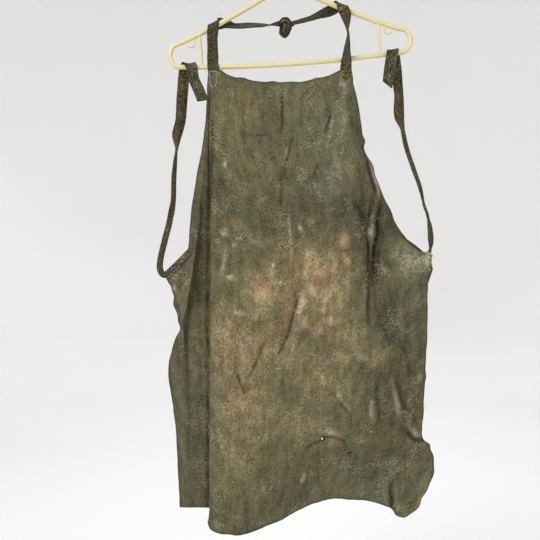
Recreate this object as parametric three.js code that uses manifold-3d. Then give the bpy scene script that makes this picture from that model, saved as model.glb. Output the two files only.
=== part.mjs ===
// Suede work apron hung on a plastic clothes hanger.
// Millimetres, +Z up, +X to the viewer's right, the apron's front towards -Y.
// The origin is the inside top of the hanger's hook, where a rail carries it.
// Heights in the tables are drops: the distance below that origin.

import * as THREE from 'three';
import { mergeVertices } from 'three/addons/utils/BufferGeometryUtils.js';
import loadManifold from 'manifold-3d';

const wasm = await loadManifold();
wasm.setup();

// Driving dimensions
const GAP = 0.3; // clearance between pieces that lie on each other
const SOFT_GAP = 0.6; // clearance under a strap that lies on a rod or on the curved hide
const HIDE_WALL = 2;
const STRAP_WIDTH = 19;
const STRAP_WALL = 2;

const HANGER = {
  tilt: THREE.MathUtils.degToRad(-3.9), // the right end hangs higher
  hookHeight: 204, // inside top of the hook above the bar's ends
  hookRadius: 23, // centre line of the hook's round part
  hookTurn: 205, // degrees that the round part goes through, from its right side over the top
  neck: { sunk: 2, straight: 16, bend: { x: 4, rise: 30 } }, // the hook's foot, above the arms' peak
  rod: 8.5,
  hookRod: 8,
  post: { x: 152, rod: 5 },
  strapHook: { x: 162, drop: 15, curl: 6, rod: 4 },
  peak: 128, // height where the two arms meet
  armBend: { x: 122, height: 63 }, // control point of the arms' curve
  shoulder: 188, // half length of the bar
  sag: 7, // how far the middle of the bar bows down
  end: { height: 20, reach: 16.5 }, // the round ends: half their height, and how far they stand out
};

const STUD = {
  x: 105,
  drop: 233,
  head: 12.5,
  dome: 3.4,
  rim: 1,
  post: 3.4,
  washer: 9,
  washerWall: 1.2,
};

const WORN_HOLE = { x: 66, drop: 846, diameter: 4 };

// The knot's pieces are placed from its middle. Squash holds shares of a round shape along X, Y and Z.
const KNOT = {
  x: 4.3,
  y: 4,
  drop: 143,
  reach: 10.6,
  loop: { radius: 8, tube: 4.6, squash: [0.86, 1, 0.9], lean: 0.5 },
  core: { squash: [1, 0.56, 0.62] },
  stub: { top: [1, -1, -4], low: [-2, -2, -23.5], across: [1, 0.25, 0], width: 18 },
};

const DRILL = 30; // length of the pins that make the holes, more than any wall

// Side edges of the hide from the bib's corners to the waist corners, each point as [x, y, drop].
const BIB_SIDES = [
  { left: [-126, -8.5, 223], right: [111, -8.5, 226] },
  { left: [-129, -9, 274], right: [126, -4, 271] },
  { left: [-132, -8, 320], right: [134, 10, 313] },
  { left: [-138, -6, 364], right: [141, 16, 354] },
  { left: [-146, -4, 400], right: [154, 20, 387] },
  { left: [-151, -2, 440], right: [166, 20, 425] },
  { left: [-158, 0, 497], right: [190, 16, 474] },
  { left: [-159, 1, 515], right: [210, 15, 503] },
  { left: [-161, 2, 529], right: [233, 14, 527] },
  { left: [-204, 6, 568], right: [255, 12, 536] },
];

// Side edges from the waist corners to the hem.
const SKIRT_SIDES = [
  { left: [-204, 6, 568], right: [255, 12, 536] },
  { left: [-191, 4, 589], right: [254, 10, 563] },
  { left: [-187, 4, 618], right: [248, 10, 595] },
  { left: [-172, 8, 655], right: [247, 10, 647] },
  { left: [-187, 20, 684], right: [245, 8, 698] },
  { left: [-198, 26, 738], right: [241, 6, 766] },
  { left: [-189, 29, 806], right: [235, 2, 838] },
  { left: [-182, 32, 878], right: [253, -12, 876] },
  { left: [-180.5, 34, 932], right: [246, -16, 913] },
  { left: [-179, 36, 975], right: [227, -20, 950] },
];

// Lines that run down the hide, from left to right. Cells is the mesh between a line and the next,
// share is its place between the side edges for the height of a row, and top and hem say how much lower
// the bib's top edge and the hem lie there than a straight line from side to side.
const LINES = [
  { name: 'leftEdge', cells: 4, share: 0, top: 0, hem: 0 },
  { name: 'flapCrest', cells: 3, share: 0.05, top: 0, hem: 1 },
  { name: 'flapValley', cells: 4, share: 0.1, top: 0, hem: 2 },
  { name: 'tuck', cells: 4, share: 0.17, top: 0, hem: 3 },
  { name: 'leftFold', cells: 4, share: 0.14, top: 0, hem: -1.5 },
  { name: 'frontLeft', cells: 4, share: 0.24, top: 13, hem: 16 },
  { name: 'frontMiddle', cells: 4, share: 0.4, top: 20, hem: 12 },
  { name: 'frontRight', cells: 3, share: 0.55, top: 16, hem: -5 },
  { name: 'pleatFoot', cells: 2, share: 0.65, top: 5, hem: -11 },
  { name: 'pleatCrest', cells: 3, share: 0.69, top: -2, hem: -10.5 },
  { name: 'pleatValley', cells: 3, share: 0.73, top: -2, hem: -9 },
  { name: 'rightPanel', cells: 2, share: 0.83, top: -1, hem: 5 },
  { name: 'rightMargin', cells: 2, share: 0.9, top: 0, hem: 22.5 },
  { name: 'rightEdge', cells: 0, share: 1, top: 0, hem: 0 },
];
const TOP_FADE = 0.16; // share of the hide's length over which the top edge's curve dies out
const HEM_FADE = 0.2; // and the hem's

// Flap below the left armhole: its crest, and the valley beside it at (x + reach, y + depth).
const LEFT_FLAP = [
  { drop: 223, x: -124, y: -8.5, reach: 1.5, depth: 0 },
  { drop: 320, x: -129, y: -8, reach: 1.5, depth: 0.5 },
  { drop: 425, x: -136, y: -8, reach: 3, depth: 4 },
  { drop: 490, x: -140, y: -8, reach: 4, depth: 10 },
  { drop: 544, x: -146, y: -7, reach: 3, depth: 18 },
  { drop: 595, x: -156, y: -6, reach: 2, depth: 23 },
  { drop: 645, x: -165, y: -3, reach: 3, depth: 21 },
  { drop: 705, x: -170, y: 11, reach: 12, depth: 11 },
  { drop: 780, x: -168, y: 21, reach: 18, depth: 4 },
  { drop: 985, x: -158, y: 33, reach: 23, depth: -1 },
];

// Long fold down the left of the front panel, and the tuck behind it at (x + reach, y + depth).
const LEFT_FOLD = [
  { drop: 223, x: -119, y: -8.5, reach: -2, depth: 0 },
  { drop: 280, x: -120, y: -9, reach: -3, depth: 0.5 },
  { drop: 330, x: -121, y: -11, reach: -4, depth: 5 },
  { drop: 440, x: -122, y: -15, reach: 3, depth: 16 },
  { drop: 560, x: -123, y: -22, reach: 9, depth: 30 },
  { drop: 700, x: -124, y: -30, reach: 14, depth: 44 },
  { drop: 850, x: -124, y: -38, reach: 18, depth: 56 },
  { drop: 985, x: -123, y: -46, reach: 22, depth: 66 },
];

// How far the front panel stands forward on its three lines.
const FRONT = [
  { drop: 223, left: -8.5, middle: -8.5, right: -8.5 },
  { drop: 320, left: -12, middle: -11, right: -10 },
  { drop: 400, left: -15, middle: -13, right: -12 },
  { drop: 560, left: -27, middle: -25, right: -20 },
  { drop: 700, left: -37, middle: -30, right: -20 },
  { drop: 850, left: -52, middle: -34, right: -12 },
  { drop: 985, left: -70, middle: -38, right: -2 },
];
const FRONT_SHARES = { left: 0.2, middle: 0.5, right: 0.8 };

// Pleat down the right of the bib: its crest, the foot to its left at (x - width, y + rise),
// and the valley to its right at (x + reach, y + depth).
const RIGHT_PLEAT = [
  { drop: 223, x: 97, y: -8.5, width: 14, rise: 0, reach: 4, depth: 0 },
  { drop: 256, x: 101, y: -8.5, width: 15, rise: 0, reach: 6, depth: 0.6 },
  { drop: 300, x: 109, y: -9, width: 16, rise: 0, reach: 9, depth: 6 },
  { drop: 360, x: 123, y: -10, width: 14, rise: 1, reach: 9, depth: 12 },
  { drop: 425, x: 150, y: -12, width: 10, rise: 5, reach: 8, depth: 14 },
  { drop: 470, x: 152, y: -13, width: 10, rise: 6, reach: 6, depth: 18 },
  { drop: 520, x: 149, y: -13, width: 9, rise: 5, reach: 6, depth: 15 },
  { drop: 560, x: 145, y: -14, width: 10, rise: 4, reach: 7, depth: 11 },
  { drop: 612, x: 141, y: -14, width: 12, rise: 2, reach: 9, depth: 7 },
  { drop: 700, x: 138, y: -13, width: 16, rise: 1, reach: 14, depth: 4 },
  { drop: 850, x: 128, y: -6, width: 18, rise: 0, reach: 16, depth: 1 },
  { drop: 985, x: 110, y: 4, width: 18, rise: 0, reach: 14, depth: -2 },
];

// How far the right side panel bows forward between the pleat and the side edge.
const RIGHT_PANEL = [
  { drop: 223, bow: 0 },
  { drop: 425, bow: 0 },
  { drop: 531, bow: -4 },
  { drop: 700, bow: -6 },
  { drop: 840, bow: -5 },
  { drop: 985, bow: -6 },
];
const RIGHT_SHARES = { panel: 0.5, margin: 0.75 };

// Curves through table rows

function mix(a, b, share) {
  return a + (b - a) * share;
}

function ease(share) {
  const held = THREE.MathUtils.clamp(share, 0, 1);
  return held * held * (3 - 2 * held);
}

// Value at a place on the cubic through the knots that never swings past the values it joins.
function smooth(knots, values, place) {
  const last = knots.length - 1;
  const at = THREE.MathUtils.clamp(place, knots[0], knots[last]);
  const steepness = (i) => (values[i + 1] - values[i]) / (knots[i + 1] - knots[i]);
  const slope = (i) => {
    if (i === 0) return steepness(0);
    if (i === last) return steepness(last - 1);
    const before = steepness(i - 1);
    const after = steepness(i);
    return before * after > 0 ? (2 * before * after) / (before + after) : 0;
  };
  let i = 0;
  while (i < last - 1 && at > knots[i + 1]) i += 1;
  const span = knots[i + 1] - knots[i];
  const t = (at - knots[i]) / span;
  const blend = t * t * (3 - 2 * t);
  const leave = t * (1 - t) * (1 - t) * span * slope(i);
  const arrive = t * t * (t - 1) * span * slope(i + 1);
  return mix(values[i], values[i + 1], blend) + leave + arrive;
}

function tableAt(rows, column, drop) {
  return smooth(rows.map((row) => row.drop), rows.map((row) => row[column]), drop);
}

// The hide's middle surface

function sidePoint(side, v) {
  const rows = v < 0.5 ? BIB_SIDES : SKIRT_SIDES;
  const place = (v < 0.5 ? 2 * v : 2 * v - 1) * (rows.length - 1);
  const knots = rows.map((row, i) => i);
  const [x, y, drop] = [0, 1, 2].map((axis) => smooth(knots, rows.map((row) => row[side][axis]), place));
  return { x, y, drop };
}

// One row across the hide: a point on each of its lines.
function rowPoints(v) {
  const left = sidePoint('left', v);
  const right = sidePoint('right', v);
  const topFade = 1 - ease(v / TOP_FADE);
  const hemFade = ease((v - 1 + HEM_FADE) / HEM_FADE);
  const drops = {};
  for (const { name, share, top, hem } of LINES) {
    drops[name] = mix(left.drop, right.drop, share) + top * topFade + hem * hemFade;
  }
  const beside = (rows, drop) => ({
    x: tableAt(rows, 'x', drop) + tableAt(rows, 'reach', drop),
    y: tableAt(rows, 'y', drop) + tableAt(rows, 'depth', drop),
  });
  const crest = (rows, drop) => ({ x: tableAt(rows, 'x', drop), y: tableAt(rows, 'y', drop) });
  const foot = (drop) => ({
    x: tableAt(RIGHT_PLEAT, 'x', drop) - tableAt(RIGHT_PLEAT, 'width', drop),
    y: tableAt(RIGHT_PLEAT, 'y', drop) + tableAt(RIGHT_PLEAT, 'rise', drop),
  });
  const front = (column, drop) => ({
    x: mix(tableAt(LEFT_FOLD, 'x', drop), foot(drop).x, FRONT_SHARES[column]),
    y: tableAt(FRONT, column, drop),
  });
  const panel = (column, drop) => ({
    x: mix(beside(RIGHT_PLEAT, drop).x, right.x, RIGHT_SHARES[column]),
    y: mix(beside(RIGHT_PLEAT, drop).y, right.y, RIGHT_SHARES[column]) + tableAt(RIGHT_PANEL, 'bow', drop),
  });
  const places = {
    leftEdge: left,
    flapCrest: crest(LEFT_FLAP, drops.flapCrest),
    flapValley: beside(LEFT_FLAP, drops.flapValley),
    tuck: beside(LEFT_FOLD, drops.tuck),
    leftFold: crest(LEFT_FOLD, drops.leftFold),
    frontLeft: front('left', drops.frontLeft),
    frontMiddle: front('middle', drops.frontMiddle),
    frontRight: front('right', drops.frontRight),
    pleatFoot: foot(drops.pleatFoot),
    pleatCrest: crest(RIGHT_PLEAT, drops.pleatCrest),
    pleatValley: beside(RIGHT_PLEAT, drops.pleatValley),
    rightPanel: panel('panel', drops.rightPanel),
    rightMargin: panel('margin', drops.rightMargin),
    rightEdge: right,
  };
  return LINES.map(({ name }) => new THREE.Vector3(places[name].x, places[name].y, -drops[name]));
}

const LINE_KNOTS = LINES.map((line, i) => LINES.slice(0, i).reduce((sum, before) => sum + before.cells, 0));
const HIDE_COLUMNS = LINE_KNOTS[LINE_KNOTS.length - 1];
const HIDE_ROWS = 2 * (BIB_SIDES.length + SKIRT_SIDES.length - 2);

// Point at u from left to right and v from top to hem, both 0 to 1.
function hidePoint(u, v) {
  const points = rowPoints(v);
  const [x, y, z] = ['x', 'y', 'z'].map((axis) =>
    smooth(LINE_KNOTS, points.map((point) => point[axis]), u * HIDE_COLUMNS));
  return new THREE.Vector3(x, y, z);
}

const SURFACE_STEP = 0.002;

// The point with the hide's outward direction there, which faces the viewer.
function hideFrame(u, v) {
  const step = (value, change) => THREE.MathUtils.clamp(value + change, 0, 1);
  const across = hidePoint(step(u, SURFACE_STEP), v).sub(hidePoint(step(u, -SURFACE_STEP), v));
  const up = hidePoint(u, step(v, -SURFACE_STEP)).sub(hidePoint(u, step(v, SURFACE_STEP)));
  return { at: hidePoint(u, v), out: across.cross(up).normalize() };
}

// The place on the hide that lies at x and drop, found by stepping towards it from a guess.
const SEEK_STEPS = 12;
function hideAt(x, drop, guess) {
  let { u, v } = guess;
  for (let i = 0; i < SEEK_STEPS; i += 1) {
    const at = hidePoint(u, v);
    const byU = hidePoint(u + SURFACE_STEP, v).sub(at).divideScalar(SURFACE_STEP);
    const byV = hidePoint(u, v + SURFACE_STEP).sub(at).divideScalar(SURFACE_STEP);
    const dx = x - at.x;
    const dz = -drop - at.z;
    const area = byU.x * byV.z - byV.x * byU.z;
    u = THREE.MathUtils.clamp(u + (dx * byV.z - dz * byV.x) / area, 0, 1 - SURFACE_STEP);
    v = THREE.MathUtils.clamp(v + (dz * byU.x - dx * byU.z) / area, 0, 1 - SURFACE_STEP);
  }
  return hideFrame(u, v);
}

// Closed geometry

// One vertex wherever faces meet, and no face that has shrunk to a line.
function closed(geometry) {
  geometry.deleteAttribute('normal');
  geometry.deleteAttribute('uv');
  const merged = mergeVertices(geometry);
  const corners = merged.index.array;
  const kept = [];
  for (let i = 0; i < corners.length; i += 3) {
    const face = [corners[i], corners[i + 1], corners[i + 2]];
    if (new Set(face).size === 3) kept.push(...face);
  }
  merged.setIndex(kept);
  return merged;
}

function solid(geometry) {
  const merged = closed(geometry);
  const vertProperties = Float32Array.from(merged.attributes.position.array);
  const triVerts = Uint32Array.from(merged.index.array);
  return new wasm.Manifold(new wasm.Mesh({ numProp: 3, vertProperties, triVerts }));
}

function surfaceOf(body) {
  const mesh = body.getMesh();
  const geometry = new THREE.BufferGeometry();
  geometry.setAttribute('position', new THREE.BufferAttribute(mesh.vertProperties, 3));
  geometry.setIndex(new THREE.BufferAttribute(mesh.triVerts, 1));
  return geometry;
}

// A thin block bent to shape: place(u, v, side) gives each vertex, side being 1 on its front and -1 behind.
function bent(columns, rows, place) {
  const block = closed(new THREE.BoxGeometry(1, 1, 1, columns, rows, 1));
  const position = block.attributes.position;
  for (let i = 0; i < position.count; i += 1) {
    const at = place(position.getX(i) + 0.5, 0.5 - position.getY(i), 2 * position.getZ(i));
    position.setXYZ(i, at.x, at.y, at.z);
  }
  return block;
}

// A round rod along a smooth curve through the points.
function rod(points, diameter, steps) {
  const sides = 8;
  const ring = [];
  for (let i = 0; i < sides; i += 1) {
    const angle = (2 * Math.PI * i) / sides;
    ring.push(new THREE.Vector2(Math.cos(angle), Math.sin(angle)).multiplyScalar(diameter / 2));
  }
  const extrudePath = new THREE.CatmullRomCurve3(points);
  return new THREE.ExtrudeGeometry(new THREE.Shape(ring), { steps, extrudePath });
}

const BACK = new THREE.Vector3(0, 1, 0);

// A shape made about Y, set square on the hide at a place, its lowest Y end standing out in front.
function setOnHide(geometry, place) {
  const turn = new THREE.Quaternion().setFromUnitVectors(BACK, place.out.clone().negate());
  return geometry.applyQuaternion(turn).translate(place.at.x, place.at.y, place.at.z);
}

// A pin through the hide.
function pin(place, diameter) {
  const sides = 12;
  return setOnHide(new THREE.CylinderGeometry(diameter / 2, diameter / 2, DRILL, sides), place);
}

// Straps

// A strap through its stations, each with the point at its middle, the direction across it,
// and its width and wall where they aren't the strap's own.
function ribbon(stations) {
  const columns = 2;
  const stepsEach = 2;
  const last = stations.length - 1;
  const path = new THREE.CatmullRomCurve3(stations.map((station) => station.at), false, 'centripetal');
  const place = (u, v, side) => {
    const i = Math.min(Math.floor(v * last), last - 1);
    const share = v * last - i;
    const [here, next] = [stations[i], stations[i + 1]];
    const along = path.getTangent(v);
    const across = here.across.clone().lerp(next.across, share);
    across.addScaledVector(along, -across.dot(along)).normalize();
    const through = along.clone().cross(across);
    const width = mix(here.width ?? STRAP_WIDTH, next.width ?? STRAP_WIDTH, share);
    const wall = mix(here.wall ?? STRAP_WALL, next.wall ?? STRAP_WALL, share);
    const at = path.getPoint(v).addScaledVector(across, (u - 0.5) * width);
    return at.addScaledVector(through, (side * wall) / 2);
  };
  return bent(columns, stepsEach * last, place);
}

// A waist tie is folded lengthwise from its sewn end to its first twist.
const FOLDED = { width: STRAP_WIDTH / 2, wall: 2 * STRAP_WALL + GAP };

function station(at, across, shape = {}) {
  return { at: new THREE.Vector3(...at), across: new THREE.Vector3(...across), ...shape };
}

// A station on the hide's front, for side 1, or behind it, for side -1.
function sewn(x, drop, side, guess, across, shape = {}) {
  const { at, out } = hideAt(x, drop, guess);
  const wall = shape.wall ?? STRAP_WALL;
  at.addScaledVector(out, side * (HIDE_WALL / 2 + SOFT_GAP + wall / 2));
  const level = new THREE.Vector3(...across).projectOnPlane(out);
  return { at, across: level, ...shape };
}

// A point of the hanger, from its own x and its height above the bar, where it hangs.
function hung(x, height) {
  return new THREE.Vector3(x, 0, height - HANGER.hookHeight).applyAxisAngle(BACK, HANGER.tilt);
}

const ARM = new THREE.QuadraticBezierCurve(
  new THREE.Vector2(0, HANGER.peak),
  new THREE.Vector2(HANGER.armBend.x, HANGER.armBend.height),
  new THREE.Vector2(HANGER.shoulder, 2 * HANGER.end.height),
);

const BAR = new THREE.QuadraticBezierCurve(
  new THREE.Vector2(-HANGER.shoulder, 0),
  new THREE.Vector2(0, -2 * HANGER.sag),
  new THREE.Vector2(HANGER.shoulder, 0),
);

// A place on one of the hanger's curves, and the curve's direction towards +X; side -1 mirrors it to the left.
function rodAt(curve, share, side = 1) {
  const place = curve.getPoint(share);
  const away = curve.getTangent(share);
  const at = hung(side * place.x, place.y);
  const along = new THREE.Vector3(away.x, 0, side * away.y).applyAxisAngle(BACK, HANGER.tilt);
  return { at, along };
}

// Half a turn of a strap over the top of a rod, from start, -1 in front or 1 behind, moving along by travel.
function over(rodPlace, start, travel) {
  const parts = 4;
  const reach = HANGER.rod / 2 + SOFT_GAP + STRAP_WALL / 2;
  const above = new THREE.Vector3(-rodPlace.along.z, 0, rodPlace.along.x);
  const stations = [];
  for (let i = 0; i <= parts; i += 1) {
    const angle = Math.PI * (i / parts - 0.5);
    const at = rodPlace.at.clone().addScaledVector(rodPlace.along, travel * (i / parts - 0.5));
    at.addScaledVector(above, reach * Math.cos(angle));
    at.y -= start * reach * Math.sin(angle);
    stations.push({ at, across: rodPlace.along });
  }
  return stations;
}

// Rough places on the hide from which sewn stations are sought.
const BIB_LEFT = { u: 0.4, v: 0.05 };
const BIB_RIGHT = { u: 0.8, v: 0.03 };
const WAIST_LEFT = { u: 0.04, v: 0.48 };
const ARMHOLE_RIGHT = { u: 0.97, v: 0.42 };
const LOW_FRONT = { u: 0.65, v: 0.85 };

function neckStrapLeft() {
  return ribbon([
    sewn(-117.5, 264, -1, BIB_LEFT, [1, 0, 0]),
    sewn(-117.5, 246, -1, BIB_LEFT, [1, 0, 0]),
    sewn(-117.5, 231, -1, BIB_LEFT, [1, 0, 0]),
    station([-118.5, -6.2, -214], [1, 0, 0]),
    station([-119.5, -6.6, -185], [0.97, 0.2, 0]),
    station([-120, -6.6, -165], [0.97, 0.2, 0.1]),
    ...over(rodAt(ARM, 0.585, -1), -1, 9),
    station([-97, 8, -144], [0.4, 0.75, 0.55]),
    station([-82, 6, -144.5], [0, 0.9, 0.42]),
    station([-56, 4, -145], [0, 0.9, 0.42]),
    station([-38, 4, -145], [0, 0.96, 0.28]),
    station([-28, 4, -144.5], [0, 1, 0]),
    station([-18, 4, -144], [0, 0.97, -0.2]),
    station([KNOT.x - KNOT.reach - GAP, KNOT.y, -KNOT.drop], [0, 0.95, -0.28]),
  ]);
}

function neckStrapRight() {
  return ribbon([
    sewn(107, 247, -1, BIB_RIGHT, [1, 0, 0]),
    sewn(106.5, 236, -1, BIB_RIGHT, [1, 0, 0]),
    station([106, -5.6, -224], [1, 0, 0]),
    station([106, -9.5, -212], [0.88, -0.45, 0]),
    station([106, -13.2, -198], [0.68, -0.73, 0]),
    station([107.5, -13.5, -182], [0.42, -0.9, 0]),
    station([109, -11.5, -160], [0.05, -1, 0]),
    station([108.5, -9, -143], [0.42, -0.9, 0]),
    station([106, -6.8, -128], [0.85, -0.4, -0.3]),
    ...over(rodAt(ARM, 0.395), -1, -11),
    station([83, 10, -119], [0.4, 0.25, -0.85]),
    station([66, 7.5, -125.5], [0.25, 0.75, -0.55]),
    station([44, 5, -133.5], [0.2, 0.88, -0.42]),
    station([25, 4, -138.5], [0.1, 0.93, -0.36]),
    station([KNOT.x + KNOT.reach + GAP, KNOT.y, -KNOT.drop + 2.5], [0.1, 0.93, -0.34]),
  ]);
}

function waistTieLeft() {
  return ribbon([
    sewn(-171, 554, 1, WAIST_LEFT, [-0.6, 0, 0.8], FOLDED),
    sewn(-182, 562, 1, WAIST_LEFT, [-0.6, 0, 0.8], FOLDED),
    sewn(-193, 569, 1, WAIST_LEFT, [-0.6, 0, 0.8], FOLDED),
    station([-203, -1, -569], [0.1, 0, 1], FOLDED),
    station([-208.5, 0, -560], [1, 0, 0.4], FOLDED),
    station([-208.5, 3, -544], [1, 0, 0], FOLDED),
    station([-200, 6, -505], [1, 0, 0], FOLDED),
    station([-193, 8, -476], [1, 0, 0], FOLDED),
    station([-188, 9, -442], [1, 0, 0], FOLDED),
    station([-187, 9, -395], [1, 0.2, 0], FOLDED),
    station([-184, 9, -367], [0.35, 0.95, 0], { width: 12, wall: 3.4 }),
    station([-181, 9, -348], [0.5, 0.87, 0]),
    station([-178, 9, -328], [0.75, 0.66, 0]),
    station([-174.5, 8, -302], [0.88, 0.47, 0]),
    station([-172, 7.6, -262], [0.92, 0.38, 0]),
    ...over(rodAt(BAR, 0.034), 1, 12),
    station([-153, -7, -238], [0.95, 0, 0.3]),
    station([-144, -10, -258], [0.95, 0, 0.3]),
    station([-136.5, -12.5, -276], [0.96, 0, 0.28]),
  ]);
}

function waistTieRight() {
  return ribbon([
    sewn(203, 498, -1, ARMHOLE_RIGHT, [0.7, 0, 0.7], FOLDED),
    sewn(213, 509.5, -1, ARMHOLE_RIGHT, [0.7, 0, 0.7], FOLDED),
    sewn(225, 522, -1, ARMHOLE_RIGHT, [0.6, 0, 0.8], FOLDED),
    sewn(231.5, 527.5, -1, ARMHOLE_RIGHT, [0.5, 0, 0.85], FOLDED),
    sewn(238, 531.5, -1, ARMHOLE_RIGHT, [0.4, 0, 0.9], FOLDED),
    station([247, 18.5, -535], [0.1, 0.7, 0.7], FOLDED),
    station([252.5, 19.5, -532], [-0.3, 1, 0.3], FOLDED),
    station([254.3, 19, -524], [0.2, 1, 0], FOLDED),
    station([254.5, 16, -509], [0.95, 0.3, 0], FOLDED),
    station([254, 15, -490], [0.9, 0.4, 0], FOLDED),
    station([250, 14, -465], [0.2, 1, 0], FOLDED),
    station([243, 13, -446], [0.5, 0.86, 0], FOLDED),
    station([234, 12, -420], [0.95, 0.2, 0.3], FOLDED),
    station([221, 11, -384], [0.95, 0, 0.3], FOLDED),
    station([209.5, 10, -348], [0.96, 0, 0.25], FOLDED),
    station([204.5, 9, -315], [0.9, 0.4, 0.15], { width: 13, wall: 3.2 }),
    station([200.5, 8, -294], [0.8, 0.6, 0]),
    station([198.5, 7.6, -260], [0.85, 0.5, 0]),
    ...over(rodAt(BAR, 0.968), 1, -9),
    station([183, -7, -214], [1, 0, -0.1]),
    station([179.5, -7.4, -248], [1, 0, -0.1]),
  ]);
}

// The knot: a squashed loop, the strap that it grips, and the cut stub below.
function neckKnot() {
  const { reach, loop, core, stub } = KNOT;
  const ring = new THREE.TorusGeometry(loop.radius, loop.tube, 10, 20);
  ring.scale(...loop.squash);
  ring.rotateX(Math.PI / 2);
  ring.rotateZ(loop.lean);
  const gripped = new THREE.SphereGeometry(reach, 16, 10);
  gripped.scale(...core.squash);
  const middle = stub.top.map((from, axis) => mix(from, stub.low[axis], 0.5));
  const doubled = 2 * STRAP_WALL;
  const end = ribbon([
    station(stub.top, stub.across, { width: 0.6 * stub.width, wall: doubled }),
    station(middle, stub.across, { width: stub.width, wall: doubled }),
    station(stub.low, stub.across, { width: 0.55 * stub.width, wall: STRAP_WALL }),
  ]);
  const knot = solid(ring).add(solid(gripped)).add(solid(end));
  return surfaceOf(knot).translate(KNOT.x, KNOT.y, -KNOT.drop);
}

// Hide and stud

const STUD_PLACE = hideAt(STUD.x, STUD.drop, BIB_RIGHT);

function apronBody() {
  const wall = bent(HIDE_COLUMNS, HIDE_ROWS, (u, v, side) => {
    const { at, out } = hideFrame(u, v);
    return at.addScaledVector(out, (side * HIDE_WALL) / 2);
  });
  const hole = hideAt(WORN_HOLE.x, WORN_HOLE.drop, LOW_FRONT);
  const hide = solid(wall)
    .subtract(solid(pin(hole, WORN_HOLE.diameter)))
    .subtract(solid(pin(STUD_PLACE, STUD.post + 2 * GAP)));
  return surfaceOf(hide);
}

function pierced(strap) {
  return surfaceOf(solid(strap).subtract(solid(pin(STUD_PLACE, STUD.post + 2 * GAP))));
}

// The stud: its domed head is in front of the hide, its washer behind the strap.
function strapStud() {
  const front = HIDE_WALL / 2 + 2 * GAP;
  const back = HIDE_WALL / 2 + SOFT_GAP + STRAP_WALL + 2 * GAP;
  const profile = [
    [0, -front - STUD.dome],
    [0.3 * STUD.head, -front - 0.85 * STUD.dome],
    [0.46 * STUD.head, -front - STUD.rim],
    [0.5 * STUD.head, -front - 0.5 * STUD.rim],
    [0.5 * STUD.head, -front],
    [STUD.post / 2, -front],
    [STUD.post / 2, back],
    [STUD.washer / 2, back],
    [STUD.washer / 2, back + STUD.washerWall],
    [0, back + STUD.washerWall],
  ];
  const sides = 20;
  const turned = new THREE.LatheGeometry(profile.map(([radius, y]) => new THREE.Vector2(radius, y)), sides);
  return setOnHide(closed(turned), STUD_PLACE);
}

// Hanger

// The closed loop of bar, round ends and arms: a ring whose circle is drawn out to that outline.
function hangerLoop() {
  const { shoulder, end, armBend, peak, sag } = HANGER;
  const outline = new THREE.Path();
  outline.moveTo(-shoulder, 0);
  outline.quadraticCurveTo(0, -2 * sag, shoulder, 0);
  outline.absellipse(shoulder, end.height, end.reach, end.height, -Math.PI / 2, Math.PI / 2, false);
  outline.quadraticCurveTo(armBend.x, armBend.height, 0, peak);
  outline.quadraticCurveTo(-armBend.x, armBend.height, -shoulder, 2 * end.height);
  outline.absellipse(-shoulder, end.height, end.reach, end.height, Math.PI / 2, 1.5 * Math.PI, false);
  const stepsEach = 7;
  const places = outline.getPoints(stepsEach);
  const corners = places.filter((place, i) => place.distanceTo(places[(i + 1) % places.length]) > GAP);
  const count = corners.length;
  const sides = 10;
  const thickness = 0.25;
  const ring = closed(new THREE.TorusGeometry(1, thickness, sides, count));
  const position = ring.attributes.position;
  for (let k = 0; k < position.count; k += 1) {
    const [x, y, z] = [position.getX(k), position.getY(k), position.getZ(k)];
    const turn = Math.atan2(y, x) / (2 * Math.PI);
    const i = (Math.round(turn * count) + count) % count;
    const [before, here, after] = [-1, 0, 1].map((step) => corners[(i + step + count) % count]);
    const arriving = here.clone().sub(before).normalize();
    const along = after.clone().sub(before).normalize();
    const outward = new THREE.Vector2(along.y, -along.x);
    const mitre = 1 / Math.max(along.dot(arriving), 0.5);
    const radius = HANGER.rod / 2 / thickness;
    const place = here.clone().addScaledVector(outward, (Math.hypot(x, y) - 1) * radius * mitre);
    position.setXYZ(k, place.x, -z * radius, place.y - HANGER.hookHeight);
  }
  return ring;
}

function hangerPoints(pairs) {
  return pairs.map(([x, height]) => new THREE.Vector3(x, 0, height - HANGER.hookHeight));
}

function hook() {
  const { hookRadius, hookTurn, hookHeight, hookRod, neck, peak } = HANGER;
  const centre = hookHeight - hookRadius + hookRod / 2;
  const places = [
    [0, peak - neck.sunk],
    [0, peak + neck.straight],
    [neck.bend.x, peak + neck.bend.rise],
    [0.7 * hookRadius, centre - 0.8 * hookRadius],
  ];
  const parts = 7;
  for (let i = 0; i <= parts; i += 1) {
    const angle = THREE.MathUtils.degToRad((hookTurn * i) / parts);
    places.push([hookRadius * Math.cos(angle), centre + hookRadius * Math.sin(angle)]);
  }
  const steps = 26;
  return rod(hangerPoints(places), hookRod, steps);
}

function armHeight(x) {
  const step = 0.002;
  let share = 0;
  while (ARM.getPoint(share).x < x) share += step;
  return ARM.getPoint(share).y;
}

function hangerPost(side) {
  const { x, rod: diameter } = HANGER.post;
  return rod(hangerPoints([[side * x, 0], [side * x, armHeight(x)]]), diameter, 1);
}

// A small hook for strap loops below each arm, curling outward.
function strapHook(side) {
  const { x, drop, curl, rod: diameter } = HANGER.strapHook;
  const top = armHeight(x);
  const places = [
    [side * x, top],
    [side * x, top - 0.6 * drop],
    [side * (x + 0.3 * curl), top - drop],
    [side * (x + curl), top - drop - 0.3 * curl],
    [side * (x + 1.8 * curl), top - drop + 0.2 * curl],
  ];
  return rod(hangerPoints(places), diameter, 10);
}

function hanger() {
  let body = solid(hangerLoop()).add(solid(hook()));
  for (const side of [-1, 1]) {
    body = body.add(solid(hangerPost(side))).add(solid(strapHook(side)));
  }
  return surfaceOf(body);
}

// Assembly

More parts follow.
